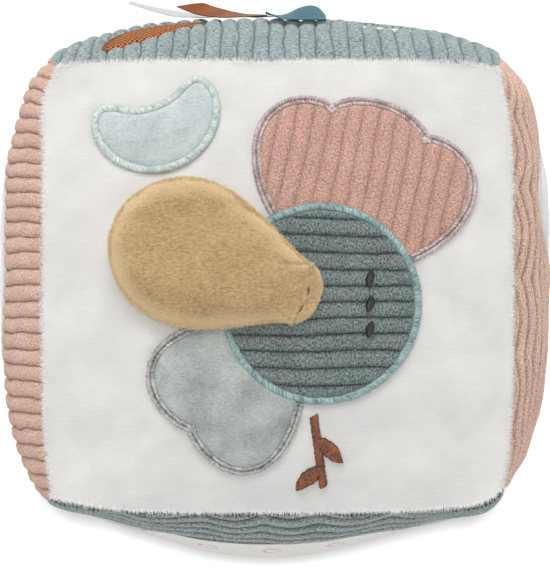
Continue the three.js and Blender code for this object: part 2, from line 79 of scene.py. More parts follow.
# Fabric: ribs, rolled edges, appliqué cloth and its stitching
RIB_PITCH = 4.57
RIB_STEPS = 12
RUN_STEP = 1.2
SEAM_ROLL = 0.7
SEAM_GAP = 0.12
ROLL_STEPS = 6
FACE_HALF = 64.0
LOW_LIFT = 0.3
CLOTH = 1.2
THREAD = 0.3
STITCH_IN = -0.35
STITCH_OUT = 2.0
STITCH_HEIGHT = 1.25
STITCH_LOW = 0.15
# Sewn cloth is drawn down over this much of its edge
DRAWN = 2.4

# Camera: straight above, as far as the photograph's perspective says
EYE = (-0.7, 0.14, 1132.0)
PICTURE_PLANE = 132.0
MM_PER_PIXEL = 0.28
WIDE_PIXELS = 550
SENSOR = 36.0

# Flower and the rest of the sewn-on cloth, as in the part's source
DISC = (12.0, -5.0)
DISC_RADIUS = 26.0
FAN_INNER = 28.8
CRESCENT = (-36.0, 54.0)
CRESCENT_RADIUS = 13.5
CRESCENT_HALF = 7.8
FLAP_ROOT = (6.0, -2.0)
FLAP_DEGREES = 160.0
FLAP_LENGTH = 55.0
FLAP_HALF = 20.5
FLAP_LIFT = 2.3
FLAP_THICK = 3.3
FLAP_THIN = 0.45
FLAP_TAPER = 0.15
FLAP_PUFF = 3.0
FLAP_TIP = 0.996
# The film lies at this share of the petal's thickness, and the plies keep this far over and under it
FILM_SHARE = 0.425
FILM_ROOM = (0.85, 0.8)
# How far the simulation may move the plies in the plan and in height
PLY_MOVES = (0.35, 2.6)
TAB_GAP = 0.95
TAB_LENGTH = 4.5
TAB_UNDER = 2.5
RIBBON_THICK = 0.3


def placed(name, data):
    """A new object of the scene."""
    made = bpy.data.objects.new(name, data)
    bpy.context.scene.collection.objects.link(made)
    return made


camera_data = bpy.data.cameras.new("camera")
camera_data.sensor_fit = "HORIZONTAL"
camera_data.sensor_width = SENSOR
camera_data.lens = SENSOR * (EYE[2] - PICTURE_PLANE) / (WIDE_PIXELS * MM_PER_PIXEL)
camera = placed("camera", camera_data)
camera.location = Vector(EYE) * MM
bpy.context.scene.camera = camera


# Finishes


class Wire:
    """A socket of a finish that is worked with as a number."""

    def __init__(self, finish, socket):
        self.finish = finish
        self.socket = socket

    def math(self, operation, first, second=0.0):
        return self.finish.node("Math", {0: first, 1: second}, operation=operation)

    def __add__(self, other):
        return self.math("ADD", self, other)

    def __radd__(self, other):
        return self.math("ADD", other, self)

    def __sub__(self, other):
        return self.math("SUBTRACT", self, other)

    def __rsub__(self, other):
        return self.math("SUBTRACT", other, self)

    def __mul__(self, other):
        return self.math("MULTIPLY", self, other)

    def __rmul__(self, other):
        return self.math("MULTIPLY", other, self)

    def sine(self):
        return self.math("SINE", self)

    def size(self):
        return self.math("ABSOLUTE", self)


class Finish:
    """A material with one cloth, thread or plastic shader. Its places are in millimetres."""

    def __init__(self, name, **constants):
        self.material = bpy.data.materials.new(name)
        self.material.use_nodes = True
        self.tree = self.material.node_tree
        self.tree.nodes.clear()
        self.shader = self.tree.nodes.new("ShaderNodeBsdfPrincipled")
        output = self.tree.nodes.new("ShaderNodeOutputMaterial")
        self.tree.links.new(self.shader.outputs[0], output.inputs["Surface"])
        for socket, value in constants.items():
            self.shader.inputs[socket.replace("_", " ")].default_value = value
        self.place = self.scaled(self.node("TexCoord", output="Object"), 1 / MM)
        self.cloth = self.node("Attribute", output="Vector", attribute_name="cloth")
        self.along, self.across, self.height = (self.part(self.cloth, axis) for axis in "XYZ")

    def node(self, kind, inputs=None, output=0, **settings):
        made = self.tree.nodes.new("ShaderNode" + kind)
        for key, value in settings.items():
            setattr(made, key, value)
        for key, value in (inputs or {}).items():
            if isinstance(value, Wire):
                self.tree.links.new(value.socket, made.inputs[key])
            else:
                made.inputs[key].default_value = value
        return Wire(self, made.outputs[output])

    def vector(self, operation, first, second=(0.0, 0.0, 0.0), output=0):
        return self.node("VectorMath", {0: first, 1: second}, output, operation=operation)

    def scaled(self, vector, by):
        return self.node("VectorMath", {0: vector, "Scale": by}, operation="SCALE")

    def part(self, vector, axis):
        return self.node("SeparateXYZ", {0: vector}, axis)

    def noise(self, size, detail=2.0, vector=None, rough=0.5, output=0):
        at = self.scaled(vector or self.place, 1 / size)
        return self.node("TexNoise", {"Vector": at, "Scale": 1.0, "Detail": detail, "Roughness": rough},
                         output)

    def spread(self, value, low, high, least=0.0, most=1.0):
        return self.node("MapRange", {"Value": value, "From Min": low, "From Max": high, "To Min": least,
                                      "To Max": most})

    def mix(self, share, first, second):
        return self.node("Mix", {0: share, 6: first, 7: second}, 2, data_type="RGBA")

    def bump(self, height, depth):
        return self.node("Bump", {"Height": height, "Distance": depth * MM, "Strength": 1.0})

    def wear(self, colour, height=None, depth=0.0):
        """The material in its colour, with its relief."""
        self.tree.links.new(colour.socket, self.shader.inputs["Base Color"])
        if height:
            self.tree.links.new(self.bump(height, depth).socket, self.shader.inputs["Normal"])
        return self.material


# Pitch of the plush's knitted rows, of the brown cloth's yarns, and of the printed rings with their radius
KNIT_PITCH = 0.78
YARN_PITCH = {"X": 0.66, "Z": 1.45}
PRINT_PITCH = (22.0, 18.5)
PRINT_START = (-26.0, 10.75, 0.0)
PRINT_RADIUS = 2.5
# Brown painted into the crease at the petal's root, as its shade
CREASE_PAINTED_SHADE = (182, 143, 92)


def tone(red, green, blue):
    """A colour as it is read off a screen, made linear."""
    return (*[(c / 255 / 12.92) if c < 10 else ((c / 255 + 0.055) / 1.055) ** 2.4
              for c in (red, green, blue)], 1.0)


def corduroy(name, dark, light, groove, grain, contrast, valley=0.6):
    """Ribbed pile: speckled tufts that lie across the ribs, and painted shade that darkens the grooves."""
    f = Finish(name, Roughness=0.95, Specular_IOR_Level=0.12, Sheen_Weight=0.3, Sheen_Tint=light,
               Diffuse_Roughness=0.8)
    laid = f.vector("MULTIPLY", f.cloth, (1 / grain[0], 1 / grain[1], 0.0))
    tufts = f.noise(1.0, 1.0, laid, 0.6)
    ends = f.noise(0.5, 1.0)
    brushed = f.noise(8.0)
    pile = f.spread(tufts * 0.6 + ends * 0.3 + brushed * 0.1, 0.5 - contrast, 0.5 + contrast)
    cloth = f.mix(pile, dark, light)
    # Painted shade: the colour darkens towards each groove, down to the groove share at its bottom, as far up
    # the rib as valley reaches
    shade = f.spread(f.height, 0.0, valley, groove, 1.0)
    return f.wear(f.scaled(cloth, shade), tufts * 0.8 + ends * 0.4, 0.3)


def plush(name, deep, pale):
    """Short pile on a fine knit: level rows, and soft patches where it is brushed."""
    f = Finish(name, Roughness=0.95, Specular_IOR_Level=0.12, Sheen_Weight=0.25, Sheen_Tint=pale,
               Diffuse_Roughness=0.9)
    streaks = f.noise(0.5, 2.0, f.vector("MULTIPLY", f.place, (0.16, 1.0, 0.5)), 0.6)
    rows = (f.part(f.place, "Y") * (2 * math.pi / KNIT_PITCH) + f.noise(4.0) * 9.0).sine()
    tufts = f.noise(0.6)
    brushed = f.noise(14.0)
    share = f.spread(streaks * 0.25 + rows * 0.012 + tufts * 0.2 + brushed * 0.55, 0.36, 0.64)
    return f.wear(f.mix(share, deep, pale), streaks * 0.6 + rows * 0.05 + tufts * 0.4, 0.13)


def velour(name, deep, pale, rim=None, size=0.5, depth=0.3, patchy=0.4):
    """Velour brushed in patches, with fibre ends that catch the light. With a rim colour, it gets a painted
    highlight where the cloth's height comes near 0, and painted brown shade in the crease where it is below."""
    f = Finish(name, Roughness=0.9, Specular_IOR_Level=0.12, Sheen_Weight=0.5, Sheen_Roughness=0.4,
               Sheen_Tint=pale, Diffuse_Roughness=0.85)
    bent = f.vector("ADD", f.place, f.scaled(f.noise(6.0, 1.0, output="Color"), 2.2))
    strokes = f.noise(size, 2.0, f.vector("MULTIPLY", bent, (0.42, 1.0, 1.0)), 0.6)
    ends = f.noise(0.36, 1.0)
    brushed = f.noise(9.0)
    share = f.spread(strokes * (0.75 - patchy) + ends * 0.25 + brushed * patchy, 0.34, 0.66)
    colour = f.mix(share, deep, pale)
    if rim:
        # Painted highlight on the rim, then painted brown shade in the crease
        colour = f.mix(f.spread(f.height, 0.0, 0.9, 0.8, 0.0), colour, rim)
        colour = f.mix(f.spread(f.height, -1.0, 0.0), tone(*CREASE_PAINTED_SHADE), colour)
    return f.wear(colour, strokes + ends * 0.3, depth)


def thread(name, deep, pale):
    """Shiny embroidery thread, a little different from stitch to stitch, with painted shade where the cloth's
    height is low: between threads and at the edges of each stitch's dome.
    """
    f = Finish(name, Roughness=0.42, Specular_IOR_Level=0.5, Sheen_Weight=0.15, Sheen_Tint=pale)
    stitch = f.noise(THREAD * 0.85, 1.0, f.vector("MULTIPLY", f.cloth, (1.0, 0.16, 0.0)))
    long = f.noise(4.0, 1.0)
    ply = (f.across * 8.0 + f.along * 16.0).sine()
    share = f.spread(stitch * 0.7 + long * 0.3, 0.4, 0.6) * f.spread(f.height, 0.0, 0.8, 0.1, 1.0)
    return f.wear(f.mix(share, deep, pale), ply, 0.025)


def satin_ribbon(name, deep, pale):
    f = Finish(name, Roughness=0.5, Specular_IOR_Level=0.2)
    weft = (f.across * 14.0).sine() * 0.5 + 0.5
    warp = f.noise(0.25, 2.0, f.vector("MULTIPLY", f.cloth, (0.05, 1.0, 1.0)))
    share = f.spread(warp + weft * 0.2, 0.4, 0.8)
    return f.wear(f.mix(share, deep, pale), weft * 0.5 + warp, 0.04)


def woven(name, deep, pale):
    """Basket weave."""
    f = Finish(name, Roughness=0.85, Specular_IOR_Level=0.2, Sheen_Weight=0.15, Sheen_Tint=pale)
    weft, warp = ((f.part(f.place, axis) * (math.pi / pitch)).sine() for axis, pitch in YARN_PITCH.items())
    yarn = f.spread(weft * warp, -0.5, 0.5)
    slub = f.noise(0.9)
    share = f.spread(yarn * 0.7 + slub * 0.4, 0.15, 0.85)
    return f.wear(f.mix(share, deep, pale), yarn + slub * 0.3, 0.15)


def printed(name, ground, ink):
    """Smooth printed cotton: small faint rings, far apart."""
    f = Finish(name, Roughness=0.75, Specular_IOR_Level=0.25, Sheen_Weight=0.1)
    weave = (f.along * 12.0).sine() * (f.across * 12.0).sine()
    far_x, far_y = PRINT_PITCH
    cell = f.vector("MULTIPLY", f.vector("ADD", f.cloth, PRINT_START), (1 / far_x, 1 / far_y, 0.0))
    off = f.vector("SUBTRACT", f.vector("FRACTION", cell), (0.5, 0.5, 0.0))
    off = f.vector("MULTIPLY", off, (far_x, far_y, 0.0))
    away = f.vector("LENGTH", off, output="Value")
    shaky = away + f.noise(2.5, 1.0) * 1.6 - 0.8
    ring = 1.0 - f.spread((shaky - PRINT_RADIUS).size(), 0.35, 0.6)
    worn = f.spread(f.noise(3.0, 3.0), 0.4, 0.6, 0.3, 1.0)
    return f.wear(f.mix(ring * worn * 0.8, ground, ink), weave, 0.03)


def plastic(name, deep, pale, rough=0.4):
    f = Finish(name, Roughness=rough, Specular_IOR_Level=0.5)
    return f.wear(f.mix(f.noise(6.0), deep, pale), f.noise(0.4), 0.02)


def fluff(name, deep, pale):
    f = Finish(name, Roughness=1.0, Specular_IOR_Level=0.1, Sheen_Weight=0.4, Sheen_Tint=pale)
    curls = f.noise(1.6, 4.0, rough=0.7)
    return f.wear(f.mix(f.spread(curls, 0.35, 0.65), deep, pale), curls, 0.9)


white_plush = plush("white_plush", tone(222, 221, 219), tone(235, 233, 231))
pink_corduroy = corduroy("pink_corduroy", tone(162, 117, 99), tone(247, 216, 200), 0.5, (0.45, 0.6), 0.17)
side_corduroy = corduroy("side_corduroy", tone(168, 126, 107), tone(252, 225, 209), 0.46, (0.45, 0.6),
                         0.17, 0.8)
pink_patch_corduroy = corduroy("pink_patch_corduroy", tone(168, 126, 110), tone(236, 199, 184), 0.78,
                               (0.5, 0.65), 0.17, 0.95)
top_corduroy = corduroy("top_corduroy", tone(84, 97, 97), tone(190, 202, 202), 0.5, (0.5, 1.2), 0.15)
# The bottom strips' corduroy: the top's cloth with far darker painted shade in its grooves, for the underside
blue_corduroy = corduroy("blue_corduroy", tone(80, 92, 90), tone(204, 216, 213), 0.1, (0.8, 0.55), 0.2, 0.9)
disc_corduroy = corduroy("disc_corduroy", tone(48, 62, 60), tone(166, 180, 177), 0.33, (0.5, 0.7), 0.18, 0.9)
print_cotton = printed("print_cotton", tone(242, 239, 235), tone(216, 158, 138))
pale_velour = velour("pale_velour", tone(180, 190, 190), tone(224, 231, 231), None, 0.5, 0.22)
grey_velour = velour("grey_velour", tone(150, 156, 152), tone(208, 214, 210), None, 0.5, 0.22)
# Its third colour is the rim's painted highlight
mustard_plush = velour("mustard_plush", tone(166, 136, 92), tone(218, 191, 148), tone(228, 205, 166),
                       0.55, 0.24, 0.22)
brown_twill = woven("brown_twill", tone(56, 22, 8), tone(206, 130, 80))
aqua_thread, mauve_thread, silver_thread, mint_thread, white_thread, brown_thread, black_thread = (
    thread(name + "_thread", tone(*deep), tone(*pale)) for name, deep, pale in (
        ("aqua", (96, 128, 129), (186, 208, 205)), ("mauve", (140, 118, 116), (236, 222, 219)),
        ("silver", (122, 124, 122), (224, 226, 223)), ("mint", (164, 180, 175), (228, 236, 232)),
        ("white", (214, 214, 212), (234, 234, 232)), ("brown", (52, 24, 10), (168, 92, 44)),
        ("black", (8, 8, 9), (34, 34, 36))))
blue_satin = satin_ribbon("blue_satin", tone(38, 80, 98), tone(90, 134, 150))
brown_satin = satin_ribbon("brown_satin", tone(76, 34, 8), tone(174, 98, 40))
white_satin = satin_ribbon("white_satin", tone(208, 202, 204), tone(231, 226, 228))
wadding = fluff("wadding", tone(226, 226, 224), tone(246, 246, 245))
rattle_plastic = plastic("rattle_plastic", tone(222, 215, 200), tone(236, 231, 220))
ball_plastic = plastic("ball_plastic", tone(200, 170, 120), tone(216, 190, 144))
film_plastic = plastic("film_plastic", tone(208, 212, 214), tone(230, 233, 235), 0.2)


def pile_ends(name, root, tip):
    """Single fibres, paler to their tips."""
    f = Finish(name, Roughness=0.9, Specular_IOR_Level=0.1, Sheen_Weight=0.3, Sheen_Tint=tip)
    own = f.noise(0.8, 1.0)
    return f.wear(f.mix(f.spread(own * 0.4 + f.height * 0.6, 0.2, 0.8), root, tip))


# The last, dark pile is painted darker than its corduroy, as the shade along the bottom seam
white_pile, mustard_pile, pink_pile, blue_pile, seam_shade_pile = (
    pile_ends(name + "_pile", tone(*root), tone(*tip)) for name, root, tip in (
        ("white", (236, 235, 233), (248, 247, 246)), ("mustard", (204, 176, 130), (238, 219, 182)),
        ("pink", (190, 150, 134), (232, 203, 189)), ("blue", (104, 120, 119), (160, 174, 172)),
        ("dark", (40, 52, 50), (124, 139, 136))))


# Shape of the skin


def closer_at_ends(count):
    """Shares from 0 to 1 that lie closer together at both ends."""
    return (1 - np.cos(np.linspace(0, math.pi, count))) / 2


def crown(t, power):
    """1 in the middle and 0 at -1 and 1."""
    return np.maximum(1 - np.abs(t) ** power, 0.0)


def eased(share):
    """The share without kinks at 0 and 1."""
    share = np.clip(share, 0, 1)
    return share ** 2 * (3 - 2 * share)


def unit(ways):
    return ways / np.maximum(np.linalg.norm(ways, axis=-1, keepdims=True), 1e-9)


def turned(degrees):
    """The direction at an angle in the plan."""
    return np.array([math.cos(math.radians(degrees)), math.sin(math.radians(degrees))])


# Places where the skin is drawn out of the plain shape: x, y, reach, way in x and y, and where in the depth:
# 1 at mid-depth, 0 in the faces' planes, None all through
PULLS = (
    (-70.0, 61.0, 7.0, -0.5, 0.0, 1), (71.0, 62.0, 6.0, -1.0, 0.0, 1), (75.0, -46.0, 16.0, -3.0, 0.0, 1),
    (71.5, -57.0, 8.0, -1.3, 0.0, 1), (77.0, 43.0, 12.0, -1.5, 0.0, 1), (59.0, -66.0, 7.0, 0.0, -0.8, None),
    (-68.0, -66.0, 6.0, 0.8, 1.6, 1), (-64.0, 50.0, 9.0, -1.3, 0.0, 0), (-63.5, 61.0, 4.5, 1.6, -0.5, 0),
    (64.0, 57.0, 9.0, -0.9, 0.0, 0), (62.5, 62.0, 5.0, 0.0, -1.2, 0),
)
# The corner seams: signs of x and y, reach in x and y, way in x and y, and the share of it at the faces
CORNER_PULLS = ((-1, 1, 3.2, 4.5, 1.8, 0.0, 0.0), (1, 1, 3.2, 4.5, -2.4, -0.3, 0.0),
                (1, -1, 2.8, 9.0, 0.0, 5.6, 0.55))


def skin(a, b, c):
    """Points of the skin. a, b and c run from -1 to 1 across, up and out of the block."""
    deep = crown(c, DEEP)
    corner = CORNER_SWELL * crown(c, BOW)
    right = CROWN_RIGHT * crown(b, SPAN_RIGHT) * crown(c, DEEP_RIGHT)
    side = np.where(a > 0, right, CROWN_LEFT * crown(b, SPAN) * deep)
    peak = crown(a + BOTTOM_LEAN * crown(a, 2), 2) ** BOTTOM_PEAK
    end = np.where(b > 0, CROWN_TOP * crown(a, SPAN), CROWN_BOTTOM * peak) * deep
    bow = crown(a, BOW)
    half_y = np.where(b > 0, HALF_TOP + SEAM_TOP * bow, HALF_BOTTOM + SEAM_BOTTOM * bow)
    x = a * (HALF_WIDTH + SEAM_SIDES * crown(b, BOW) + corner + side)
    y = b * (half_y + corner + end)
    rise = crown(a, DEEP) + crown(b, DEEP)
    z = c * (HALF_DEPTH + FACE_RISE * rise + CROWN_FACE * crown(a, DEEP) * crown(b, DEEP)) + REST
    start_x, start_y = x, y
    for at_x, at_y, reach, way_x, way_y, depth in PULLS:
        near = np.exp(-((start_x - at_x) ** 2 + (start_y - at_y) ** 2) / reach ** 2)
        if depth is not None:
            near = near * (crown(c, 6) if depth else 1 - crown(c, 6))
        x, y = x + way_x * near, y + way_y * near
    for sign_x, sign_y, reach_x, reach_y, way_x, way_y, least in CORNER_PULLS:
        near = np.exp(-np.abs(a - sign_x) * FACE_HALF / reach_x - ((b - sign_y) * FACE_HALF / reach_y) ** 2)
        near = near * (least + (1 - least) * crown(c, 5))
        x, y = x + way_x * near, y + way_y * near
    return np.stack(np.broadcast_arrays(x, y, z), -1)


SEEK_STEPS = 24
SEEK_REACH = FACE_HALF + 4

# Each face by the axis that it looks along, and the way
FACES = {"front": (2, 1), "back": (2, -1), "left": (0, -1), "right": (0, 1), "top": (1, 1), "bottom": (1, -1)}


def on_skin(face, u, v):
    axis, way = FACES[face]
    at = [u, v]
    at.insert(axis, way * np.ones_like(u))
    return skin(*at)


def face_plan(face, points):
    """Places in a face's plan, where the depth is measured from the block's mid-depth."""
    first, second = (axis for axis in range(3) if axis != FACES[face][0])
    return points[..., first], points[..., second] - (REST if second == 2 else 0.0)


def surface(face, u, v):
    """Points of a face and the directions out of it."""
    axis, way = FACES[face]
    step = 1e-3
    u = np.clip(u, step - 1, 1 - step)
    v = np.clip(v, step - 1, 1 - step)
    across = on_skin(face, u + step, v) - on_skin(face, u - step, v)
    up = on_skin(face, u, v + step) - on_skin(face, u, v - step)
    normal = unit(np.cross(across, up))
    return on_skin(face, u, v), normal * np.sign(normal[..., axis] * way)[..., None]


def place(face, p, q, lift):
    """Points over a face at places of its plan, which are sought step by step."""
    u, v = p / FACE_HALF, q / FACE_HALF
    for _ in range(SEEK_STEPS):
        here_p, here_q = face_plan(face, on_skin(face, u, v))
        u = u + (p - here_p) / SEEK_REACH
        v = v + (q - here_q) / SEEK_REACH
    points, normal = surface(face, u, v)
    return points + normal * lift[..., None]


def ripples(x, y, length, seed):
    """Smooth waves of about that length, from about -1 to 1."""
    draw = np.random.default_rng(seed)
    total = 0.0
    for _ in range(7):
        turn, phase = draw.uniform(0, 2 * math.pi, 2)
        wave = 2 * math.pi / (length * draw.uniform(0.7, 1.5))
        total = total + np.sin(wave * (x * math.cos(turn) + y * math.sin(turn)) + phase)
    return total / 3.2


# Meshes


def closed_sheet(top, bottom, loop=False):
    """Faces between two grids that lie over each other, joined round their edges and facing out."""
    rows, columns = top.shape[:2]
    count = rows * columns
    points = np.concatenate([top.reshape(-1, 3), bottom.reshape(-1, 3)])
    index = np.arange(count).reshape(rows, columns)
    if loop:
        index = np.concatenate([index, index[:1]])
    over = np.stack([index[:-1, :-1], index[1:, :-1], index[1:, 1:], index[:-1, 1:]], -1).reshape(-1, 4)

    def wall(start, end):
        return np.stack([end, start, start + count, end + count], -1)

    walls = [wall(index[:-1, 0], index[1:, 0]), wall(index[1:, -1], index[:-1, -1])]
    if not loop:
        walls += [wall(index[0, 1:], index[0, :-1]), wall(index[-1, :-1], index[-1, 1:])]
    faces = np.concatenate([over, over[:, ::-1] + count, *walls])
    corners = points[faces] - points.mean(0)
    volume = np.einsum("ij,ij->i", corners[:, 0], np.cross(corners[:, 1], corners[:, 2])).sum()
    volume += np.einsum("ij,ij->i", corners[:, 0], np.cross(corners[:, 2], corners[:, 3])).sum()
    return points, faces if volume > 0 else faces[:, ::-1]


def joined(parts):
    """Several (points, faces, cloth) as one."""
    points, faces, cloths, count = [], [], [], 0
    for some, more, cloth in parts:
        points.append(some)
        faces.append(more + count)
        cloths.append(cloth)
        count += len(some)
    return np.concatenate(points), np.concatenate(faces), np.concatenate(cloths)


def make(name, points, faces, finish, slot=None, body="block", cloth=None, node=True, ending="_piece"):
    """A piece of the scene. It stands for the node of the same name, unless node is False."""
    label = name + ending if node else name
    mesh = bpy.data.meshes.new(label)
    mesh.from_pydata((points * MM).tolist(), [], faces if isinstance(faces, list) else faces.tolist())
    mesh.shade_smooth()
    if cloth is not None:
        attribute = mesh.attributes.new("cloth", "FLOAT_VECTOR", "POINT")
        attribute.data.foreach_set("vector", np.asarray(cloth, np.float32).ravel())
    mesh.materials.append(finish)
    piece = placed(label, mesh)
    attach(piece, body)
    if node:
        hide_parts(name)
    return piece


def twice(cloth):
    """The cloth's own places for both layers of a sheet."""
    flat = cloth.reshape(-1, 3)
    return np.concatenate([flat, flat])


# Panels


def panel_lines(low, high, step, roll):
    """Grid lines of a panel as shares of its face, closer where its edges roll in."""
    edge = (SEAM_GAP + 2 * roll * (1 - np.cos(np.linspace(0, math.pi / 2, ROLL_STEPS)))) / FACE_HALF
    middle = np.linspace(low + edge[-1], high - edge[-1], round((high - low) * FACE_HALF / step))
    return np.concatenate([low + edge[:-1], middle, high - edge[-2::-1]])


def lengths_along(points, axis):
    """Distance along each grid line from its middle."""
    steps = np.linalg.norm(np.diff(points, axis=axis, prepend=np.take(points, [0], axis)), axis=-1)
    total = np.cumsum(steps, axis=axis)
    return total - np.take(total, [total.shape[axis] // 2], axis=axis)


def rib_shape(phase, power=2.1, round_power=0.56):
    """Height of a rib over its groove, from 0 to 1."""
    return crown(2 * (phase - np.floor(phase)) - 1, power) ** round_power


def at_grooves(phase, reach, inside):
    """Lays the grid line that is nearest to each groove into it: how far it moves, and its phase."""
    off = (phase - np.round(phase)) * RIB_PITCH
    off = np.where((np.abs(off) < reach) & inside, off, 0.0)
    return off, np.where(off != 0, np.round(phase), phase)


class Ribs:
    """Cut-pile ribs over a face: how far they wander, and how high they stand."""

    def __init__(self, seed, wander=0.5, height=1.4, shift=0.0, pulls=(), gather=0.0, power=2.1,
                 round_power=0.56, leans=()):
        self.seed, self.wander, self.height, self.shift = seed, wander, height, shift
        self.pulls, self.gather, self.leans = pulls, gather, leans
        self.power, self.round_power = power, round_power

    def pull(self, run):
        """How strongly the seam's gathers pull here, from 0 to 1."""
        total = np.zeros_like(run)
        for at, width, strength in self.pulls:
            total = np.maximum(total, strength * np.maximum(1 - np.abs(run - at) / width, 0) ** 1.5)
        return total

    def phase(self, across, run, edge):
        drift = (self.wander * ripples(across, run, 34, self.seed)
                 + 0.22 * ripples(across, run, 11, self.seed + 1))
        for start, end, way in self.leans:
            share = np.clip((across - start) / (end - start), 0, 1)
            drift = drift + way * share ** 1.3 * np.exp(-edge / 26.0)
        return (across + self.shift + drift + self.gather * self.pull(run) * np.exp(-edge / 15.0)) / RIB_PITCH

    def lift(self, phase, across, run, edge):
        rib = rib_shape(phase, self.power, self.round_power)
        height = self.height * (1 + 0.14 * ripples(across, run, 13, self.seed + 2))
        sway = 0.3 * ripples(across, run, 20, self.seed + 3)
        tuft = 0.07 * ripples(across, run, 1.9, self.seed + 4)
        lift = height * (rib - 1) + sway + tuft
        if self.pulls:
            lift = lift + (0.5 - 1.5 * self.pull(run)) * np.exp(-edge / 9.0) * np.minimum(edge / 2.0, 1.0)
        return lift, rib


def pressed(face, base):
    """How far the patches press the ribs of a face down, from 0 to 1, and the depth where it is 1."""
    x, y = face_plan(face, base)
    share, most = np.zeros_like(x), np.full_like(x, LEAF_LEVEL)
    for on, centre, radii, _, _, level, *_ in ROUND_PATCHES.values():
        if on == face:
            off = (np.hypot((x - centre[0]) / radii[0], (y - centre[1]) / radii[1]) - 1) * min(radii)
            share = np.maximum(share, 1 - off / HOLLOW_SIDE)
            most = np.where(off < 2 * HOLLOW_SIDE, level, most)
    if face == "top":
        leaf = strip_grid(leaf_spine[::2], leaf_across[::2], leaf_half[::2], 13)
        leaf = np.stack([part.ravel() for part in leaf], -1)
        share = np.maximum(share, 1 - (edge_distance(x, y, leaf) - 0.7) / 1.4)
    return eased(share), most


def strip_bend(u, v):
    """The strips of the bottom face widen towards the block's corners."""
    share = STRIP_SHARE - 0.34 * eased((np.abs(u) - 0.5) / 0.32)
    print_side = v * share / STRIP_SHARE
    strip_side = np.sign(v) * (1 - (1 - np.abs(v)) * (1 - share) / (1 - STRIP_SHARE))
    return np.where(np.abs(v) < STRIP_SHARE, print_side, strip_side)


def panel(name, face, finish, slot, ribs=None, along_u=False, low=-1.0, high=1.0, step=RUN_STEP, relief=None,
          roll=SEAM_ROLL, seam_painted_shade=0.0):
    """A panel with its edges rolled in. Ribs lie side by side along u, or along v where along_u is set. Over
    its first millimetres at the front seam, as many as the last argument gives, it gets a groove's painted
    shade."""
    fine = RIB_PITCH / RIB_STEPS
    u_step = v_step = step
    if ribs:
        u_step, v_step = (step, fine) if along_u else (fine, step)
    u, v = np.meshgrid(panel_lines(-1.0, 1.0, u_step, roll), panel_lines(low, high, v_step, roll))
    if abs(low) == STRIP_SHARE or high == -STRIP_SHARE:
        v = strip_bend(u, v)
    base, _ = surface(face, u, v)
    edge_u = (1 - np.abs(u)) * FACE_HALF
    edge_v = np.minimum(v - low, high - v) * FACE_HALF
    s, t = lengths_along(base, 1), lengths_along(base, 0)
    across, run = (t, s) if along_u else (s, t)
    if along_u and high > 0.99:
        across = across - across[-1:]
    elif along_u and low < -0.99:
        across = across - across[:1]
    edge_far = np.minimum(edge_u, edge_v)
    front_edge = (high - v) * FACE_HALF
    if ribs:
        off, phase = at_grooves(ribs.phase(across, run, front_edge), fine * 0.5, edge_far > 2.2 * roll)
        off = off / (FACE_HALF * 1.08)
        u, v = (u, v - off) if along_u else (u - off, v)
        lift, rib = ribs.lift(phase, across, run, front_edge)
    else:
        lift = relief(base, s, t)
        rib = np.ones_like(lift)
    if face == "top":
        (x, z), radius, wide, depth = CALM_RIBS
        off = np.hypot(base[..., 0] - x, base[..., 2] - REST - z)
        lift = lift - (lift + depth) * np.exp(-(((off - radius) / wide) ** 2)) * (base[..., 2] < REST + z)
    down, most = pressed(face, base)
    lift = lift * (1 - down) + (0.1 * rib + most) * down
    near = np.hypot(np.maximum(2 * roll - edge_u, 0), np.maximum(2 * roll - edge_v, 0)) / 2
    settle = np.clip(edge_far / (3 * roll), 0, 1) * 0.7 + 0.3
    sunk = roll - np.sqrt(np.maximum(roll ** 2 - np.minimum(near, roll) ** 2, 0))
    points, normal = surface(face, u, v)
    top = points + normal * (lift * settle - sunk)[..., None]
    bottom = points - normal * PANEL_DEEP
    top[..., 2], bottom[..., 2] = np.maximum(top[..., 2], 0.0), np.maximum(bottom[..., 2], PANEL)
    # Painted shade along the front seam: the ribs' height falls to 0 there, which the corduroy paints as a
    # groove's shade
    if seam_painted_shade:
        rib = rib * np.clip(front_edge / seam_painted_shade, 0, 1) ** 2
    cloth = np.stack([run, across, rib], -1)
    piece = make(name, *closed_sheet(top, bottom), finish, slot, cloth=twice(cloth))
    return top, normal


# Outlines in the plan


def disc_grid(x, y, radius_x, radius_y, count):
    """A square grid pressed into an ellipse."""
    u, v = np.meshgrid(np.linspace(-1, 1, count), np.linspace(-1, 1, count))
    return x + radius_x * u * np.sqrt(1 - v * v / 2), y + radius_y * v * np.sqrt(1 - u * u / 2)


def ellipse_line(x, y, radius_x, radius_y):
    turn = np.linspace(0, 2 * math.pi, 720, endpoint=False)
    return np.stack([x + radius_x * np.cos(turn), y + radius_y * np.sin(turn)], -1)


def round_disc(turn, radius):
    return DISC[0] + radius * np.cos(turn), DISC[1] + radius * np.sin(turn)


def fan_line(reach, from_degrees, to_degrees, lobes, count):
    share = np.linspace(0.004, 0.996, count)
    end = np.sqrt(crown(2 * share - 1, 5))
    lobe = np.abs(np.sin(lobes * math.pi * share)) ** 0.5
    radius = FAN_INNER + reach * end * (1 - 0.17 * (1 - lobe))
    return np.radians(from_degrees + (to_degrees - from_degrees) * share), radius


def fan_grid(reach, from_degrees, to_degrees, lobes, columns, rows):
    turn, radius = fan_line(reach, from_degrees, to_degrees, lobes, columns)
    share = np.linspace(0, 1, rows)[:, None]
    start = FAN_INNER - 1.5
    return round_disc(turn, start + (radius - start) * share)


def strip_grid(line, across, half, columns):
    """A grid over a strip from its spine, the directions across it and its half widths."""
    side = np.linspace(-1, 1, columns)[None, :]
    x = line[:, :1] + across[:, :1] * half[:, None] * side
    y = line[:, 1:] + across[:, 1:] * half[:, None] * side
    return x, y


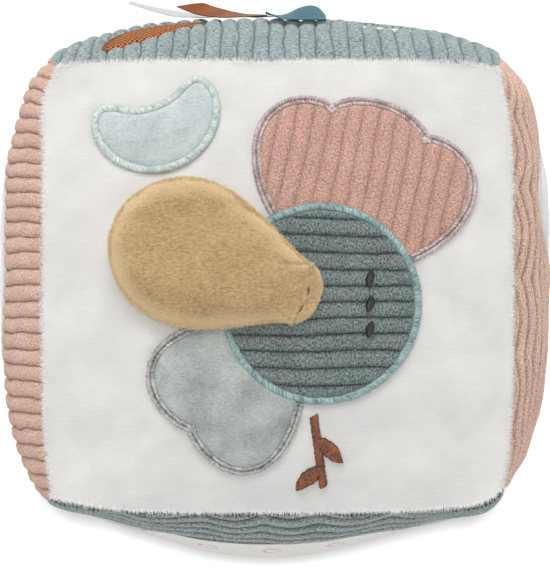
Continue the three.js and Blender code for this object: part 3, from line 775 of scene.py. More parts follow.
def straight(x, y, degrees, length, share):
    along = turned(degrees)
    line = np.array([x, y]) + along * (share * length)[:, None]
    return line, np.broadcast_to(np.array([-along[1], along[0]]), line.shape)


def strip_line(line, across, half):
    """The outline of such a strip."""
    return np.concatenate([line + across * half[:, None], (line - across * half[:, None])[::-1]])


def edge_distance(x, y, border):
    """Distance from each place of a plan to the nearest point of a line."""
    flat = np.stack([x.ravel(), y.ravel()], -1)
    best = np.full(len(flat), 1e9)
    for start in range(0, len(flat), 4000):
        part = flat[start:start + 4000, None, :] - border[None, :, :]
        best[start:start + 4000] = np.sqrt((part ** 2).sum(-1).min(1))
    return best.reshape(x.shape)


def border_of(x, y):
    """The outline of a grid in the plan."""
    rim = [(x[0], y[0]), (x[-1], y[-1]), (x[:, 0], y[:, 0]), (x[:, -1], y[:, -1])]
    return np.concatenate([np.stack(side, -1) for side in rim])


# Sewn-on cloth and stitching


def sewn_cloth(name, face, x, y, finish, slot, ribs=None, seed=1, puff=0.0, thick=CLOTH, level=0.0):
    """Cloth over a face, drawn down where its edge is stitched. ribs: direction, height and two powers."""
    edge = edge_distance(x, y, border_of(x, y))
    r, s, rib = x, y, np.ones_like(x)
    ups = 0.05 * ripples(x, y, 3.0, seed + 5)
    if ribs:
        degrees, height, power, round_power = ribs
        turn = math.radians(degrees)
        across_x, across_y = -math.sin(turn), math.cos(turn)
        s = x * across_x + y * across_y
        r = x * across_y - y * across_x
        phase = (s + 0.35 * ripples(s, r, 30, seed) + 0.1 * ripples(s, r, 9, seed + 1)) / RIB_PITCH
        off, phase = at_grooves(phase, 0.6 * RIB_PITCH / RIB_STEPS, edge > 1.0)
        x, y = x - off * across_x, y - off * across_y
        rib = rib_shape(phase, power, round_power)
        ups = height * (rib - 1) + 0.07 * ripples(s, r, 1.8, seed + 2) + 0.1 * ripples(s, r, 7, seed + 4)
    drawn = np.sqrt(crown(1 - np.minimum(edge / DRAWN, 1), 2))
    sway = 0.14 * ripples(x, y, 12, seed + 3)
    lift = level + LOW_LIFT + (thick + puff * np.minimum(edge / 12, 1) + sway + ups) * drawn
    top = place(face, x, y, lift)
    bottom = place(face, x, y, np.full_like(lift, level + 0.1))
    cloth = np.stack([r, s, rib], -1)
    piece = make(name, *closed_sheet(top, bottom), finish, slot, cloth=twice(cloth))
    "picture_panel" if face == "front" else face + "_panel"


def resampled(line, closed, spacing):
    """The line at even distances, with the direction to its right."""
    ends = np.concatenate([line, line[:1]]) if closed else line
    run = np.concatenate([[0], np.cumsum(np.linalg.norm(np.diff(ends, axis=0), axis=1))])
    count = max(6, round(run[-1] / spacing))
    at = np.linspace(0, run[-1], count, endpoint=not closed)
    even = np.stack([np.interp(at, run, ends[:, k]) for k in (0, 1)], -1)
    along = unit(np.roll(even, -1, 0) - np.roll(even, 1, 0) if closed else np.gradient(even, axis=0))
    return even, along, np.stack([along[:, 1], -along[:, 0]], -1), at


def satin(face, line, inner, outer, seed, closed=True, rows=1, low=STITCH_LOW, height=STITCH_HEIGHT, lean=0.3,
          half_shares=None, ragged=0.07):
    """Satin stitch along a line between two distances to its right: one thread beside the other."""
    draw = np.random.default_rng(seed)
    samples, columns = 3, 13 if rows > 1 else 11
    even, along, right, at = resampled(line, closed, THREAD / samples)
    count = len(even)
    stitch = np.arange(count) // samples
    part = np.arange(count) % samples
    q = np.linspace(-1, 1, columns)[None, :]
    wide, slip, tall = (draw.normal(0, most, stitch[-1] + 1)[stitch][:, None]
                        for most in (ragged, 0.05, 0.05))
    tall = (1 + tall) * (1 + 0.06 * ripples(at, at, 5, seed))[:, None]
    middle, half = (inner + outer) / 2, (outer - inner) / 2
    if half_shares is not None:
        half = half * half_shares(at / at[-1])[:, None]
    reach = middle + half * q * np.clip(1 + wide, 0.75, 1.2) + slip
    if rows > 1:
        row = (q + 1) * rows / 2
        dome = np.abs(np.sin(math.pi * row)) ** 0.6 * (1 - 0.2 * np.abs(q))
        slant = lean * (1 - 2 * np.abs(row % 2.0 - 1.0))
    else:
        dome = np.sqrt(crown(q, 2.2))
        slant = lean * q
    strand = np.array([0.0, 0.85, 1.0])[part][:, None]
    lift = low + height * dome * tall * (0.9 + 0.1 * strand)
    x = even[:, :1] + right[:, :1] * reach + along[:, :1] * slant
    y = even[:, 1:] + right[:, 1:] * reach + along[:, 1:] * slant
    top = place(face, x, y, lift)
    bottom = place(face, x, y, np.full_like(lift, low - 0.1))
    # The cloth's height steers the thread's painted shade: lower in the gap between threads and towards the
    # dome's edges
    cloth = np.stack(np.broadcast_arrays(at[:, None], reach, (0.4 + 0.6 * strand) * dome ** 0.5), -1)
    points, faces = closed_sheet(top, bottom, closed)
    return points, faces, twice(cloth)


def stitched(name, face, line, finish, slot, seed, closed=True, rows=1, lean=0.3, outer=STITCH_OUT,
             height=STITCH_HEIGHT, level=0.0):
    points, faces, cloth = satin(face, line, STITCH_IN, outer, seed, closed, rows, level + STITCH_LOW, height,
                                 lean)
    return make(name, points, faces, finish, slot, cloth=cloth)


def clockwise_out(line):
    """The line turned so that its right side is its outside."""
    x, y = line[:, 0], line[:, 1]
    area = (x * np.roll(y, -1) - y * np.roll(x, -1)).sum()
    return line if area > 0 else line[::-1]


disc_line = ellipse_line(*DISC, DISC_RADIUS, DISC_RADIUS)
# Petals sewn round the disc: their reach, the degrees from and to, and how many
pink_fan = (28.0, 28.0, 116.0, 3)
pale_fan = (23.0, 192.0, 256.0, 2)


def fan_outline(fan):
    turn, radius = fan_line(*fan, 400)
    radius = np.pad(radius, 1, constant_values=FAN_INNER - 0.6)
    return np.stack(round_disc(np.pad(turn, 1, "edge"), radius), -1)


pink_line, pale_line = fan_outline(pink_fan), fan_outline(pale_fan)
crescent_share = closer_at_ends(90)
crescent_turn = np.radians(205.0 + 165.0 * crescent_share)
crescent_across = -np.stack([np.cos(crescent_turn), np.sin(crescent_turn)], -1)
crescent_spine = np.array(CRESCENT) - CRESCENT_RADIUS * crescent_across
crescent_half = CRESCENT_HALF * np.sqrt(np.sin(math.pi * crescent_share).clip(0.0004))
crescent_line = clockwise_out(strip_line(crescent_spine, crescent_across, crescent_half))

sewn_cloth("flower_disc", "front", *disc_grid(*DISC, DISC_RADIUS, DISC_RADIUS, 136), disc_corduroy,
           "blue_corduroy", (0.0, 0.95, 2.4, 0.65), 21)
sewn_cloth("pink_petals", "front", *fan_grid(*pink_fan, 190, 78), pink_patch_corduroy, "pink_corduroy",
           (78.0, 0.95, 2.0, 0.75), 31, 0.5)
sewn_cloth("pale_petals", "front", *fan_grid(*pale_fan, 110, 60), grey_velour, "pale_velour", None, 41, 0.6)
sewn_cloth("crescent", "front", *strip_grid(crescent_spine, crescent_across, crescent_half, 40), pale_velour,
           "pale_velour", None, 51, 0.8)
stitched("flower_disc_stitching", "front", disc_line, aqua_thread, "aqua_thread", 61, lean=0.55)
stitched("pink_petals_stitching", "front", pink_line, mauve_thread, "mauve_thread", 62, False, 2, 0.5, 2.35)
stitched("pale_petals_stitching", "front", pale_line, silver_thread, "silver_thread", 63, False, 2, 0.5, 2.35)
stitched("crescent_stitching", "front", crescent_line, mint_thread, "mint_thread", 64, True, 1, 0.5)

# Stem with its leaves: its root, degrees and length
STEM = (10.0, -36.0, 278.0, 20.0)
stem_share = np.linspace(0, 1, 60)
stem_line, _ = straight(*STEM, stem_share)


def leaf_shares(share):
    return np.sqrt(np.sin(math.pi * np.clip(share, 0.02, 0.98)))


stem_parts = [satin("front", stem_line, -1.25, 1.25, 71, False, lean=0.5, low=0.3)]
for number, (share, degrees) in enumerate(((0.35, 322.0), (0.7, 228.0))):
    root = straight(*STEM, np.array([share]))[0][0]
    leaf_spine, _ = straight(root[0], root[1], degrees, 9.0, stem_share)
    stem_parts.append(satin("front", leaf_spine, -2.2, 2.2, 72 + number, False, lean=0.8, low=0.3,
                            half_shares=leaf_shares, ragged=0.05))
points, faces, cloth = joined(stem_parts)
make("stem_embroidery", points, faces, brown_thread, "brown_thread", cloth=cloth)

for number in (-1, 0, 1):
    seed_line, _ = straight(DISC[0] + 13.0, DISC[1] + 7.0 * number - 2.3, 80.0, 4.6, stem_share)
    points, faces, cloth = satin("front", seed_line, -1.15, 1.15, 80 + number, False, low=1.3, height=1.3,
                                 lean=0.2, half_shares=leaf_shares, ragged=0.06)
    make(f"seed_stitch_{number + 2}", points, faces, black_thread, "black_thread", cloth=cloth)

# Patches of the other faces, each in a hollow of the ribs: face, centre, radii, seed, thickness of the cloth,
# level of the hollow, and how far out and how high the stitching goes
ROUND_PATCHES = {
    "left_patch": ("left", (8.5, -3.0), (33.0, 33.0), 91, 0.9, -0.9, 1.3, 0.8),
    "right_patch": ("right", (24.0, 4.0), (20.0, 43.0), 92, 0.9, -1.1, 1.3, 0.8),
    "top_round_patch": ("top", (33.0, 21.0), (14.0, 14.0), 93, 0.3, -2.5, 0.4, 0.25),
}
LEAF_LEVEL = -2.0
TOP_LEAF = (-49.0, 52.0, 306.0, 56.0)
HOLLOW_SIDE = 1.8
# Behind the round patch on the top the ribs lie calm: centre, radius and width of that ring, and its depth
CALM_RIBS = ((33.0, 21.0), 17.5, 3.2, 0.35)
leaf_share = closer_at_ends(110)
leaf_spine, leaf_across = straight(*TOP_LEAF, leaf_share)
leaf_half = 8.0 * np.sin(math.pi * leaf_share ** 0.8).clip(0.01)
for name, (face, centre, radii, seed, thick, level, outer, height) in ROUND_PATCHES.items():
    sewn_cloth(name, face, *disc_grid(*centre, *radii, round(2 * max(radii) / 0.7)), white_plush,
               "white_plush", None, seed, 0.0, thick, level)
    stitched(name + "_stitching", face, ellipse_line(*centre, *radii), white_thread, "silver_thread",
             seed + 10, outer=outer, height=height, level=level)
sewn_cloth("top_leaf_patch", "top", *strip_grid(leaf_spine, leaf_across, leaf_half, 40), brown_twill,
           "brown_twill", None, 94, 0.0, 0.8, LEAF_LEVEL)
stitched("top_leaf_patch_stitching", "top", clockwise_out(strip_line(leaf_spine, leaf_across, leaf_half)),
         brown_thread, "brown_thread", 104, outer=0.9, height=0.9, level=LEAF_LEVEL)


# Panels of the block


# Places where the picture panel sinks in: x, y, reach and depth
DENTS = ((-50.0, 52.0, 9.0, 0.5), (50.0, 55.0, 10.0, 0.4), (-53.0, -46.0, 9.0, 0.5), (54.0, -44.0, 10.0, 0.5),
         (-40.0, 8.0, 12.0, 0.25), (52.0, 20.0, 9.0, 0.35), (-8.0, 60.0, 8.0, 0.3), (20.0, -54.0, 9.0, 0.3))


def plush_relief(_, s, t):
    return 0.3 * ripples(s, t, 30, 5) + 0.08 * ripples(s, t, 8, 6)


def picture_relief(base, s, t):
    """The plush sinks a little along every line of stitching, and stands up beside it."""
    lift = plush_relief(base, s, t)
    for x, y, reach, depth in DENTS:
        off = np.hypot(base[..., 0] - x, base[..., 1] - y) / reach
        lift = lift - 1.4 * depth * np.exp(-off ** 2) * (1 + 0.5 * ripples(s, t, 10, 9))
    lines = np.concatenate([line[::3] for line in (disc_line, pink_line, pale_line, crescent_line)])
    near = edge_distance(base[..., 0], base[..., 1], lines)
    return lift - 0.5 * np.exp(-((near / 2.6) ** 2)) + 0.22 * np.exp(-(((near - 6.0) / 3.0) ** 2))


# Gathers at the seams: place, width and strength
RIGHT_PULLS = [(at, 11.5, most)
               for at, most in ((48.0, 1.0), (27.5, 1.0), (2.0, 0.9), (-20.0, 0.6), (-40.0, 0.5))]
BOTTOM_PULLS = [(at, 9.0, most)
                for at, most in ((-44.0, 0.6), (-21.0, 0.5), (-4.0, 1.0), (11.0, 0.5), (32.0, 0.7))]
picture_edge = panel("picture_panel", "front", white_plush, "white_plush", step=0.62, relief=picture_relief,
                     roll=0.35)
panel("back_panel", "back", white_plush, "white_plush", step=0.8, relief=plush_relief)
left_edge = panel("left_panel", "left", pink_corduroy, "pink_corduroy",
                  Ribs(201, wander=0.35, height=1.35, power=2.6,
                       leans=((6.0, 62.0, 7.0), (-30.0, -66.0, -1.5))))
right_edge = panel("right_panel", "right", side_corduroy, "pink_corduroy",
                   Ribs(211, wander=0.4, height=1.3, pulls=RIGHT_PULLS, gather=-5.0, round_power=0.75), True)
top_edge = panel("top_panel", "top", top_corduroy, "blue_corduroy",
                 Ribs(221, wander=0.5, height=1.2, shift=-1.85))
bottom_edge = panel("bottom_front_strip", "bottom", blue_corduroy, "blue_corduroy",
                    Ribs(231, wander=0.8, height=1.1, pulls=BOTTOM_PULLS, gather=-3.5, round_power=0.8), True,
                    STRIP_SHARE, 1.0, seam_painted_shade=1.6)
panel("bottom_back_strip", "bottom", blue_corduroy, "blue_corduroy", Ribs(241, wander=0.5), True, -1.0,
      -STRIP_SHARE)
panel("bottom_print_panel", "bottom", print_cotton, "printed_cotton", low=-STRIP_SHARE, high=STRIP_SHARE,
      relief=lambda _, s, t: 0.1 * ripples(s, t, 26, 7) + 0.03 * ripples(s, t, 7, 8))


# Loose fibres


def fibres(name, roots, ways, facing, lengths, width, finish, slot, body="block"):
    """Thin blades from their roots, each with its broad side out."""
    count = len(roots)
    ways = unit(ways)
    side = unit(np.cross(ways, facing))
    under = np.cross(ways, side)
    under *= -np.sign((under * facing).sum(1, keepdims=True))
    ring = [roots + side * width, roots - side * width, roots + under * width]
    points = np.stack([*ring, roots + ways * lengths[:, None]], 1).reshape(-1, 3)
    start = np.arange(count)[:, None] * 4
    faces = np.concatenate([start + np.array(three)
                            for three in ((0, 1, 3), (1, 2, 3), (2, 0, 3), (0, 2, 1))])
    cloth = np.zeros((count * 4, 3))
    cloth[3::4, 2] = 1
    piece = make(name, points, faces, finish, slot, body, cloth, False)
    piece.data.shade_flat()
    return piece


def fringe(name, edge, sides, count, seed, finish, slot, length, width, flat, in_by=0.9, tufted=0.0):
    """Pile along the given sides of a panel's grid, leaning outward over the seams, even or in tufts."""
    draw = np.random.default_rng(seed)
    top, normal = edge
    rows, columns = top.shape[:2]
    side = draw.choice(sides, count)
    along = draw.uniform(0.01, 0.99, count)
    across_step, up_step = (np.linalg.norm(np.diff(top, axis=k), axis=-1).mean() for k in (1, 0))
    into = np.abs(draw.normal(0, in_by, count))
    nearest, farthest, inner = 3, 60, 12
    i_in, j_in = (np.minimum(nearest + (into / step).astype(int), farthest)
                  for step in (up_step, across_step))

    def lines_in(down, over):
        """Places in the grid that many lines in from each fibre's side."""
        i = np.where(side == 0, down, rows - 1 - down)
        j = np.where(side == 2, over, columns - 1 - over)
        run_i, run_j = ((along * (lines - 1)).astype(int) for lines in (rows, columns))
        return np.where(side < 2, i, run_i), np.where(side < 2, run_j, j)

    i, j = lines_in(i_in, j_in)
    outward = unit(top[lines_in(0, 0)] - top[lines_in(inner, inner)])
    roots = top[i, j] + draw.normal(0, 0.2, (count, 3)) - normal[i, j] * 0.1
    ways = normal[i, j] * flat + outward + draw.normal(0, 0.32, (count, 3))
    facing = normal[i, j] + outward * 0.3 + draw.normal(0, 0.2, (count, 3))
    at = roots[:, 0]
    tuft = np.clip(0.55 + 0.7 * ripples(at, 0, 5.0, seed) + 0.5 * ripples(at, 0, 2.2, seed + 1), 0.1, 1.3)
    lengths = draw.uniform(*length, count) * (1 - tufted + tufted * tuft)
    return fibres(name, roots, ways, facing, lengths, width, finish, slot)


fringe("picture_panel_pile", picture_edge, (0, 1, 2, 3), 14000, 301, white_pile, "white_plush", (0.7, 1.8),
       0.08, 0.3)
for name, edge, seed, finish, slot in (("left_panel_pile", left_edge, 302, pink_pile, "pink_corduroy"),
                                       ("right_panel_pile", right_edge, 303, pink_pile, "pink_corduroy"),
                                       ("top_panel_pile", top_edge, 304, blue_pile, "blue_corduroy")):
    fringe(name, edge, (1,), 2500, seed, finish, slot, (0.3, 0.8), 0.08, 0.7, 0.5)
# Pile painted darker than its cloth along the bottom seam, as that seam's shade
fringe("bottom_strip_pile", bottom_edge, (1,), 9000, 305, seam_shade_pile, "blue_corduroy", (0.3, 0.95), 0.13, 0.9,
       0.6, 0.9)


# Loose petal


def flap_half(share):
    """Half the petal's width along its length."""
    return FLAP_HALF * np.sqrt(np.sin(math.pi * (0.06 + 0.94 * share ** 1.5)).clip(0))


def root_edge(side):
    """How far the petal's uneven root edge lies over the start of the tab."""
    return 0.6 + 1.0 * crown(side, 2) + 0.28 * ripples(side * 9.0, 0, 4.5, 423)


def flap_plan(share, side):
    """The petal's plan. Its root edge is bowed, and lies over the start of the tab."""
    line, across = straight(*FLAP_ROOT, FLAP_DEGREES, FLAP_LENGTH, share)
    x, y = strip_grid(line, across, flap_half(share), side)
    over = root_edge(np.linspace(-1, 1, side)) * np.exp(-share * FLAP_LENGTH / 2.5)[:, None]
    way = turned(FLAP_DEGREES + 180)
    return x + over * way[0], y + over * way[1]


def refined(grid, times):
    """The same smooth grid with more lines."""
    for axis in (0, 1):
        count = grid.shape[axis]
        at = np.linspace(0, count - 1, (count - 1) * times + 1)
        k = np.clip(np.floor(at).astype(int), 0, count - 2)
        f = (at - k).reshape((-1, 1, 1) if axis == 0 else (1, -1, 1))
        a, b, c, d = (np.take(grid, np.clip(k + n, 0, count - 1), axis) for n in (-1, 0, 1, 2))
        grid = b + 0.5 * f * ((c - a) + f * (2 * a - 5 * b + 4 * c - d + f * (3 * (b - c) + d - a)))
    return grid


def inflated(top, bottom):
    """The two plies blown up as a pillow by cloth simulation, ten times life size."""
    grow = 10.0
    points, faces = closed_sheet(top, bottom)
    middle = points.mean(0)
    piece = make("petal_trial", (points - middle) * grow, faces, mustard_plush, body="flap", node=False)
    piece.parent = None
    columns, half = top.shape[1], len(points) // 2
    sewn = piece.vertex_groups.new(name="sewn")
    sewn.add([*range(2 * columns), *range(half, half + 2 * columns)], 1.0, "REPLACE")
    cloth = piece.modifiers.new("cloth", "CLOTH")
    for key, value in (("quality", 6), ("mass", 0.2), ("tension_stiffness", 12),
                       ("compression_stiffness", 12), ("bending_stiffness", 0.2), ("use_pressure", True),
                       ("uniform_pressure_force", 4), ("vertex_group_mass", "sewn")):
        setattr(cloth.settings, key, value)
    cloth.settings.effector_weights.gravity = 0
    frames = 20
    cloth.point_cache.frame_start, cloth.point_cache.frame_end = 1, frames
    for number in range(1, frames + 1):
        bpy.context.scene.frame_set(number)
    shaped = piece.evaluated_get(bpy.context.evaluated_depsgraph_get()).to_mesh()
    moved = np.zeros(len(points) * 3, np.float32)
    shaped.vertices.foreach_get("co", moved)
    moved = moved.reshape(-1, 3).astype(float) / MM / grow + middle
    bpy.context.scene.frame_set(1)
    mesh = piece.data
    bpy.data.objects.remove(piece)
    bpy.data.meshes.remove(mesh)
    return moved[:half].reshape(top.shape), moved[half:].reshape(top.shape)


def petal_plies():
    """Both plies and their plan, puffed up by a formula and then by the cloth simulation."""
    rows, columns = 40, 27
    share = closer_at_ends(rows) * FLAP_TIP
    x, y = flap_plan(share, columns)
    ground = place("front", x, y, np.zeros_like(x))
    taper = np.sin(np.minimum(share / FLAP_TAPER, 1) * math.pi / 2)[:, None]
    thick = FLAP_THICK * (FLAP_THIN + (1 - FLAP_THIN) * taper)
    side = np.linspace(-1, 1, columns)[None, :]
    puff = FLAP_PUFF * (1 - side ** 2) * np.sin(math.pi * share)[:, None] * taper
    rim = 0.35 + 0.65 * np.sqrt(crown(side, 3)) * np.sqrt(crown(2 * share - 1, 6))[:, None]
    middle = FLAP_LIFT + thick / 2
    top, bottom = ground.copy(), ground.copy()
    top[..., 2] += middle + thick / 2 * rim + puff * 0.55
    bottom[..., 2] += middle - thick / 2 * rim
    shaped_top, shaped_bottom = inflated(top, bottom)
    for shaped, start in ((shaped_top, top), (shaped_bottom, bottom)):
        move = shaped - start
        for part, most in zip((move[..., :2], move[..., 2:]), PLY_MOVES):
            length = np.linalg.norm(part, axis=-1, keepdims=True)
            part *= np.minimum(1, most / np.maximum(length, 1e-9))
        shaped[:] = start + move
    top, bottom = shaped_top, shaped_bottom
    bottom[..., 2] = np.maximum(bottom[..., 2], ground[..., 2] + FLAP_LIFT - 0.2)
    top[..., 2] = np.maximum(top[..., 2], bottom[..., 2] + 0.8)
    # Over the film the plies keep clear of it
    over_film = np.clip((edge_distance(x, y, border_of(x, y)) - 0.8) / 1.4, 0, 1)
    film = ground[..., 2] + FLAP_LIFT + FILM_SHARE * thick
    top[..., 2] += over_film * np.maximum(film + FILM_ROOM[0] - top[..., 2], 0)
    bottom[..., 2] -= over_film * np.maximum(bottom[..., 2] - film + FILM_ROOM[1], 0)
    return refined(top, 4), refined(bottom, 4), refined(np.stack([x, y, x * 0], -1), 4)


def grid_normals(grid, axis=2):
    """Directions out of a grid, to the side of that axis."""
    normal = unit(np.cross(np.gradient(grid, axis=1), np.gradient(grid, axis=0)))
    return normal * np.sign(normal[..., axis].mean())


def with_rim(grid, rim):
    """The grid with the seam line round it."""
    wide = np.pad(rim, ((1, 1), (1, 1), (0, 0)), "edge")
    wide[1:-1, 1:-1] = grid
    return wide


petal_top, petal_bottom, petal_plan = petal_plies()
petal_rim = (petal_top + petal_bottom) / 2
outward = unit(petal_rim - petal_rim.mean((0, 1)))
petal_rim = petal_rim + outward * 0.25
petal_border = np.concatenate([petal_plan[:, 0], petal_plan[-1], petal_plan[::-1, -1]])[:, :2]
x, y = petal_plan[..., 0], petal_plan[..., 1]
petal_in = edge_distance(x, y, petal_border)
petal_along = np.hypot(x - FLAP_ROOT[0], y - FLAP_ROOT[1])
at_root = np.exp(-petal_along / 3.0)
# The cloth's height is 0 at the rim, where velour paints a highlight, 1 inside it, and below 0 in the crease
# at the root, where velour paints brown shade
petal_crease_shade = 2.4 * np.linalg.norm(petal_plan[:, :, :2] - petal_plan[:1, :, :2], axis=-1) / 1.2 - 1.4
petal_cloth = petal_plan.copy()
petal_cloth[..., 2] = np.where(petal_crease_shade < 1, petal_crease_shade,
                               np.clip(petal_in / 5.0, 0, 1) * (1 - at_root) + at_root)
for name, grid, sign, seed in (("flap_front_ply", petal_top, 1, 401),
                               ("flap_back_ply", petal_bottom, -1, 402)):
    normal = grid_normals(grid) * sign
    pleat = ripples(y - x * 0.36, 0, 6, seed + 2)
    relief = 0.14 * ripples(x, y, 8, seed) + 0.04 * ripples(x, y, 2.2, seed + 1)
    relief = relief + 0.35 * pleat * np.exp(-petal_along / 9.0)
    outer = with_rim(grid + normal * relief[..., None], petal_rim)
    inner = with_rim(grid - normal * 0.55, petal_rim - outward * 0.4)
    piece = make(name, *closed_sheet(outer, inner), mustard_plush, "mustard_plush", "flap",
                 twice(with_rim(petal_cloth, petal_cloth)))


def mustard_fibres(name, draw, roots, ways, shortest, longest, body="block"):
    """Pile of the petal or its tab, that stands out along its ways."""
    count = len(roots)
    facing = ways * 0.3 + np.array([0, 0, 1.0])
    if body == "flap":
        ways = ways * 0.9 + np.array([0, 0, 0.4])
    ways = ways + draw.normal(0, 0.4, (count, 3))
    return fibres(name, roots, ways, facing, draw.uniform(shortest, longest, count), 0.08, mustard_pile,
                  "mustard_plush", body)


def petal_fibres():
    """Pile that stands out round the petal's edge."""
    draw = np.random.default_rng(411)
    count = 9000
    border = np.concatenate([petal_rim[:, 0], petal_rim[-1], petal_rim[::-1, -1], petal_rim[0]])
    steps = np.linalg.norm(np.diff(border, axis=0), axis=1)
    run = np.concatenate([[0], np.cumsum(steps)])
    at = draw.uniform(0, run[-1], count)
    roots = np.stack([np.interp(at, run, border[:, k]) for k in range(3)], -1)
    ways = unit(roots - petal_rim.mean((0, 1)))
    into = draw.uniform(0, 1.0, count)
    roots = roots - ways * into[:, None]
    roots[:, 2] += 0.3 + into * 0.9 + draw.uniform(-0.7, 0.3, count)
    mustard_fibres("flap_pile", draw, roots, ways, 0.4, 1.2, "flap")


petal_fibres()

# Puckered end behind the petal's root, sewn down on the disc
tab_share = np.linspace(0, 1, 60)
tab_run = tab_share * (TAB_GAP + TAB_LENGTH + TAB_UNDER) - TAB_UNDER
tab_line, tab_across = straight(*FLAP_ROOT, FLAP_DEGREES + 180, 1.0, tab_run)
tab_half = float(flap_half(np.array([0.0]))[0]) * (1 - tab_share ** 2.6) ** 0.38 + 0.05
tab_half = tab_half * (0.84 + 0.16 * np.clip(tab_share / 0.4, 0, 1) ** 2)
tab_x, tab_y = strip_grid(tab_line, tab_across, tab_half, 70)
tab_side = np.linspace(-1, 1, 70)[None, :]
tab_step = (tab_run[:, None] - root_edge(tab_side) - 0.3) / 0.4
tab_rise = np.clip(tab_step, 0, 1) * np.sqrt(crown(np.maximum(tab_share - 0.5, 0) * 2, 3))[:, None]
tab_dome = np.sqrt(crown(tab_side, 3.5)) * tab_rise
tab_pleat = ripples(tab_side * 9, 0, 5, 422) * (0.4 + 0.6 * tab_share[:, None])
tab_lift = 1.85 + 1.75 * tab_dome * (1 + 0.16 * tab_pleat) + 0.06 * ripples(tab_x, tab_y, 3, 421)
tab_top = place("front", tab_x, tab_y, tab_lift)
tab_bottom = place("front", tab_x, tab_y, np.full_like(tab_lift, 1.2))
# Painted light on the tab: brown shade in the crease below 0, and the paler highlight of its rim near 0
tab_crease_shade = np.clip(0.7 * tab_step - 1.2, -1, 0)
tab_rim_highlight = np.clip(np.maximum(tab_dome * 1.3 - 0.3, 1.2 - tab_step / 3), 0, 1)
tab_cloth = np.stack([tab_x, tab_y, np.where(tab_crease_shade < 0, tab_crease_shade, tab_rim_highlight)], -1)
tab = make("flap_root_tab", *closed_sheet(tab_top, tab_bottom), mustard_plush, "mustard_plush",
           cloth=twice(tab_cloth))


def tab_fibres():
    draw = np.random.default_rng(431)
    count = 2600
    rows, columns = tab_top.shape[:2]
    j = draw.integers(0, columns, count)
    i = np.where(draw.random(count) < 0.6,
                 rows - 1 - np.abs(draw.normal(0, 3, count)).astype(int) % (rows // 2),
                 draw.integers(rows // 2, rows, count))
    ways = unit(tab_top[i, j] - (tab_top.mean((0, 1)) - np.array([0, 0, 1.5])))
    return mustard_fibres("flap_root_tab_pile", draw, tab_top[i, j] - np.array([0, 0, 0.1]), ways, 0.3, 0.9)


# Where the tab sits, and the tab and its pile with meshes of their own
tab_seat = [float(at) * MM for at in tab_bottom.mean((0, 1)) + (0, 0, 0.4)]
for piece in (tab, tab_fibres()):
    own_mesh(piece)


# Ribbons

ribbons = []


def ribbon(name, near, far, finish, seed):
    """A satin ribbon between two edges, each a row of points from its sewn end to its cut end."""
    sheet = np.linspace(np.array(near, float), np.array(far, float), 9, axis=1)
    sheet = refined(refined(sheet, 4), 3)
    columns = sheet.shape[1]
    middle = sheet[:, columns // 2]
    run = np.cumsum(np.linalg.norm(np.diff(middle, axis=0, prepend=middle[:1]), axis=1))
    side = np.linspace(-1, 1, columns)[None, :]
    normal = grid_normals(sheet, 1)
    wave = 0.1 * ripples(run[:, None], side * 5, 9, seed) - 0.25 * side ** 2 * (run / run[-1])[:, None]
    sheet = sheet + normal * wave[..., None]
    cloth = np.stack(np.broadcast_arrays(run[:, None], side * 5, np.ones_like(wave)), -1)
    half = normal * RIBBON_THICK / 2
    piece = make(name, *closed_sheet(sheet + half, sheet - half), finish, name, name, twice(cloth))
    ribbons.append(piece)


ribbon("ribbon_blue",
       ((14, 76.5, 106), (11.8, 76.5, 106), (9.0, 76.5, 106), (5.5, 76.5, 106), (1.0, 76.8, 106),
        (-1.2, 77.8, 105.8), (-3.3, 78.9, 105.5)),
       ((14, 78.3, 96), (12, 80.5, 96), (9.5, 81.2, 96), (6.2, 80.5, 96), (2.4, 78.9, 96), (-0.6, 78.5, 95.8),
        (-3.3, 79.1, 95.5)), blue_satin, 501)
ribbon("ribbon_brown",
       ((-3, 78.6, 93), (-7.5, 78.3, 93), (-12.5, 78.1, 93), (-17, 78.2, 92.6), (-21.5, 78.8, 92.2),
        (-25.5, 79.8, 91.6), (-29.4, 81.4, 91)),
       ((-3, 79.4, 83), (-6.5, 79.5, 83), (-10, 79.8, 83.2), (-13.2, 80.4, 83.5), (-16, 81.2, 84),
        (-18.8, 82.0, 84.5), (-21.6, 82.9, 85)), brown_satin, 502)
ribbon("ribbon_white",
       ((1, 79.6, 80), (-8, 79.4, 80), (-17, 79.1, 80), (-24, 79.1, 80), (-29.5, 79.5, 80), (-36, 80.8, 80),
        (-43.6, 83.4, 80)),
       ((1, 80.0, 70), (-8, 79.9, 70), (-17, 80.1, 70), (-24, 80.7, 70), (-29.5, 81.5, 70), (-36, 82.8, 70),
        (-43.6, 84.5, 70)), white_satin, 503)


# Filling and rattle inside


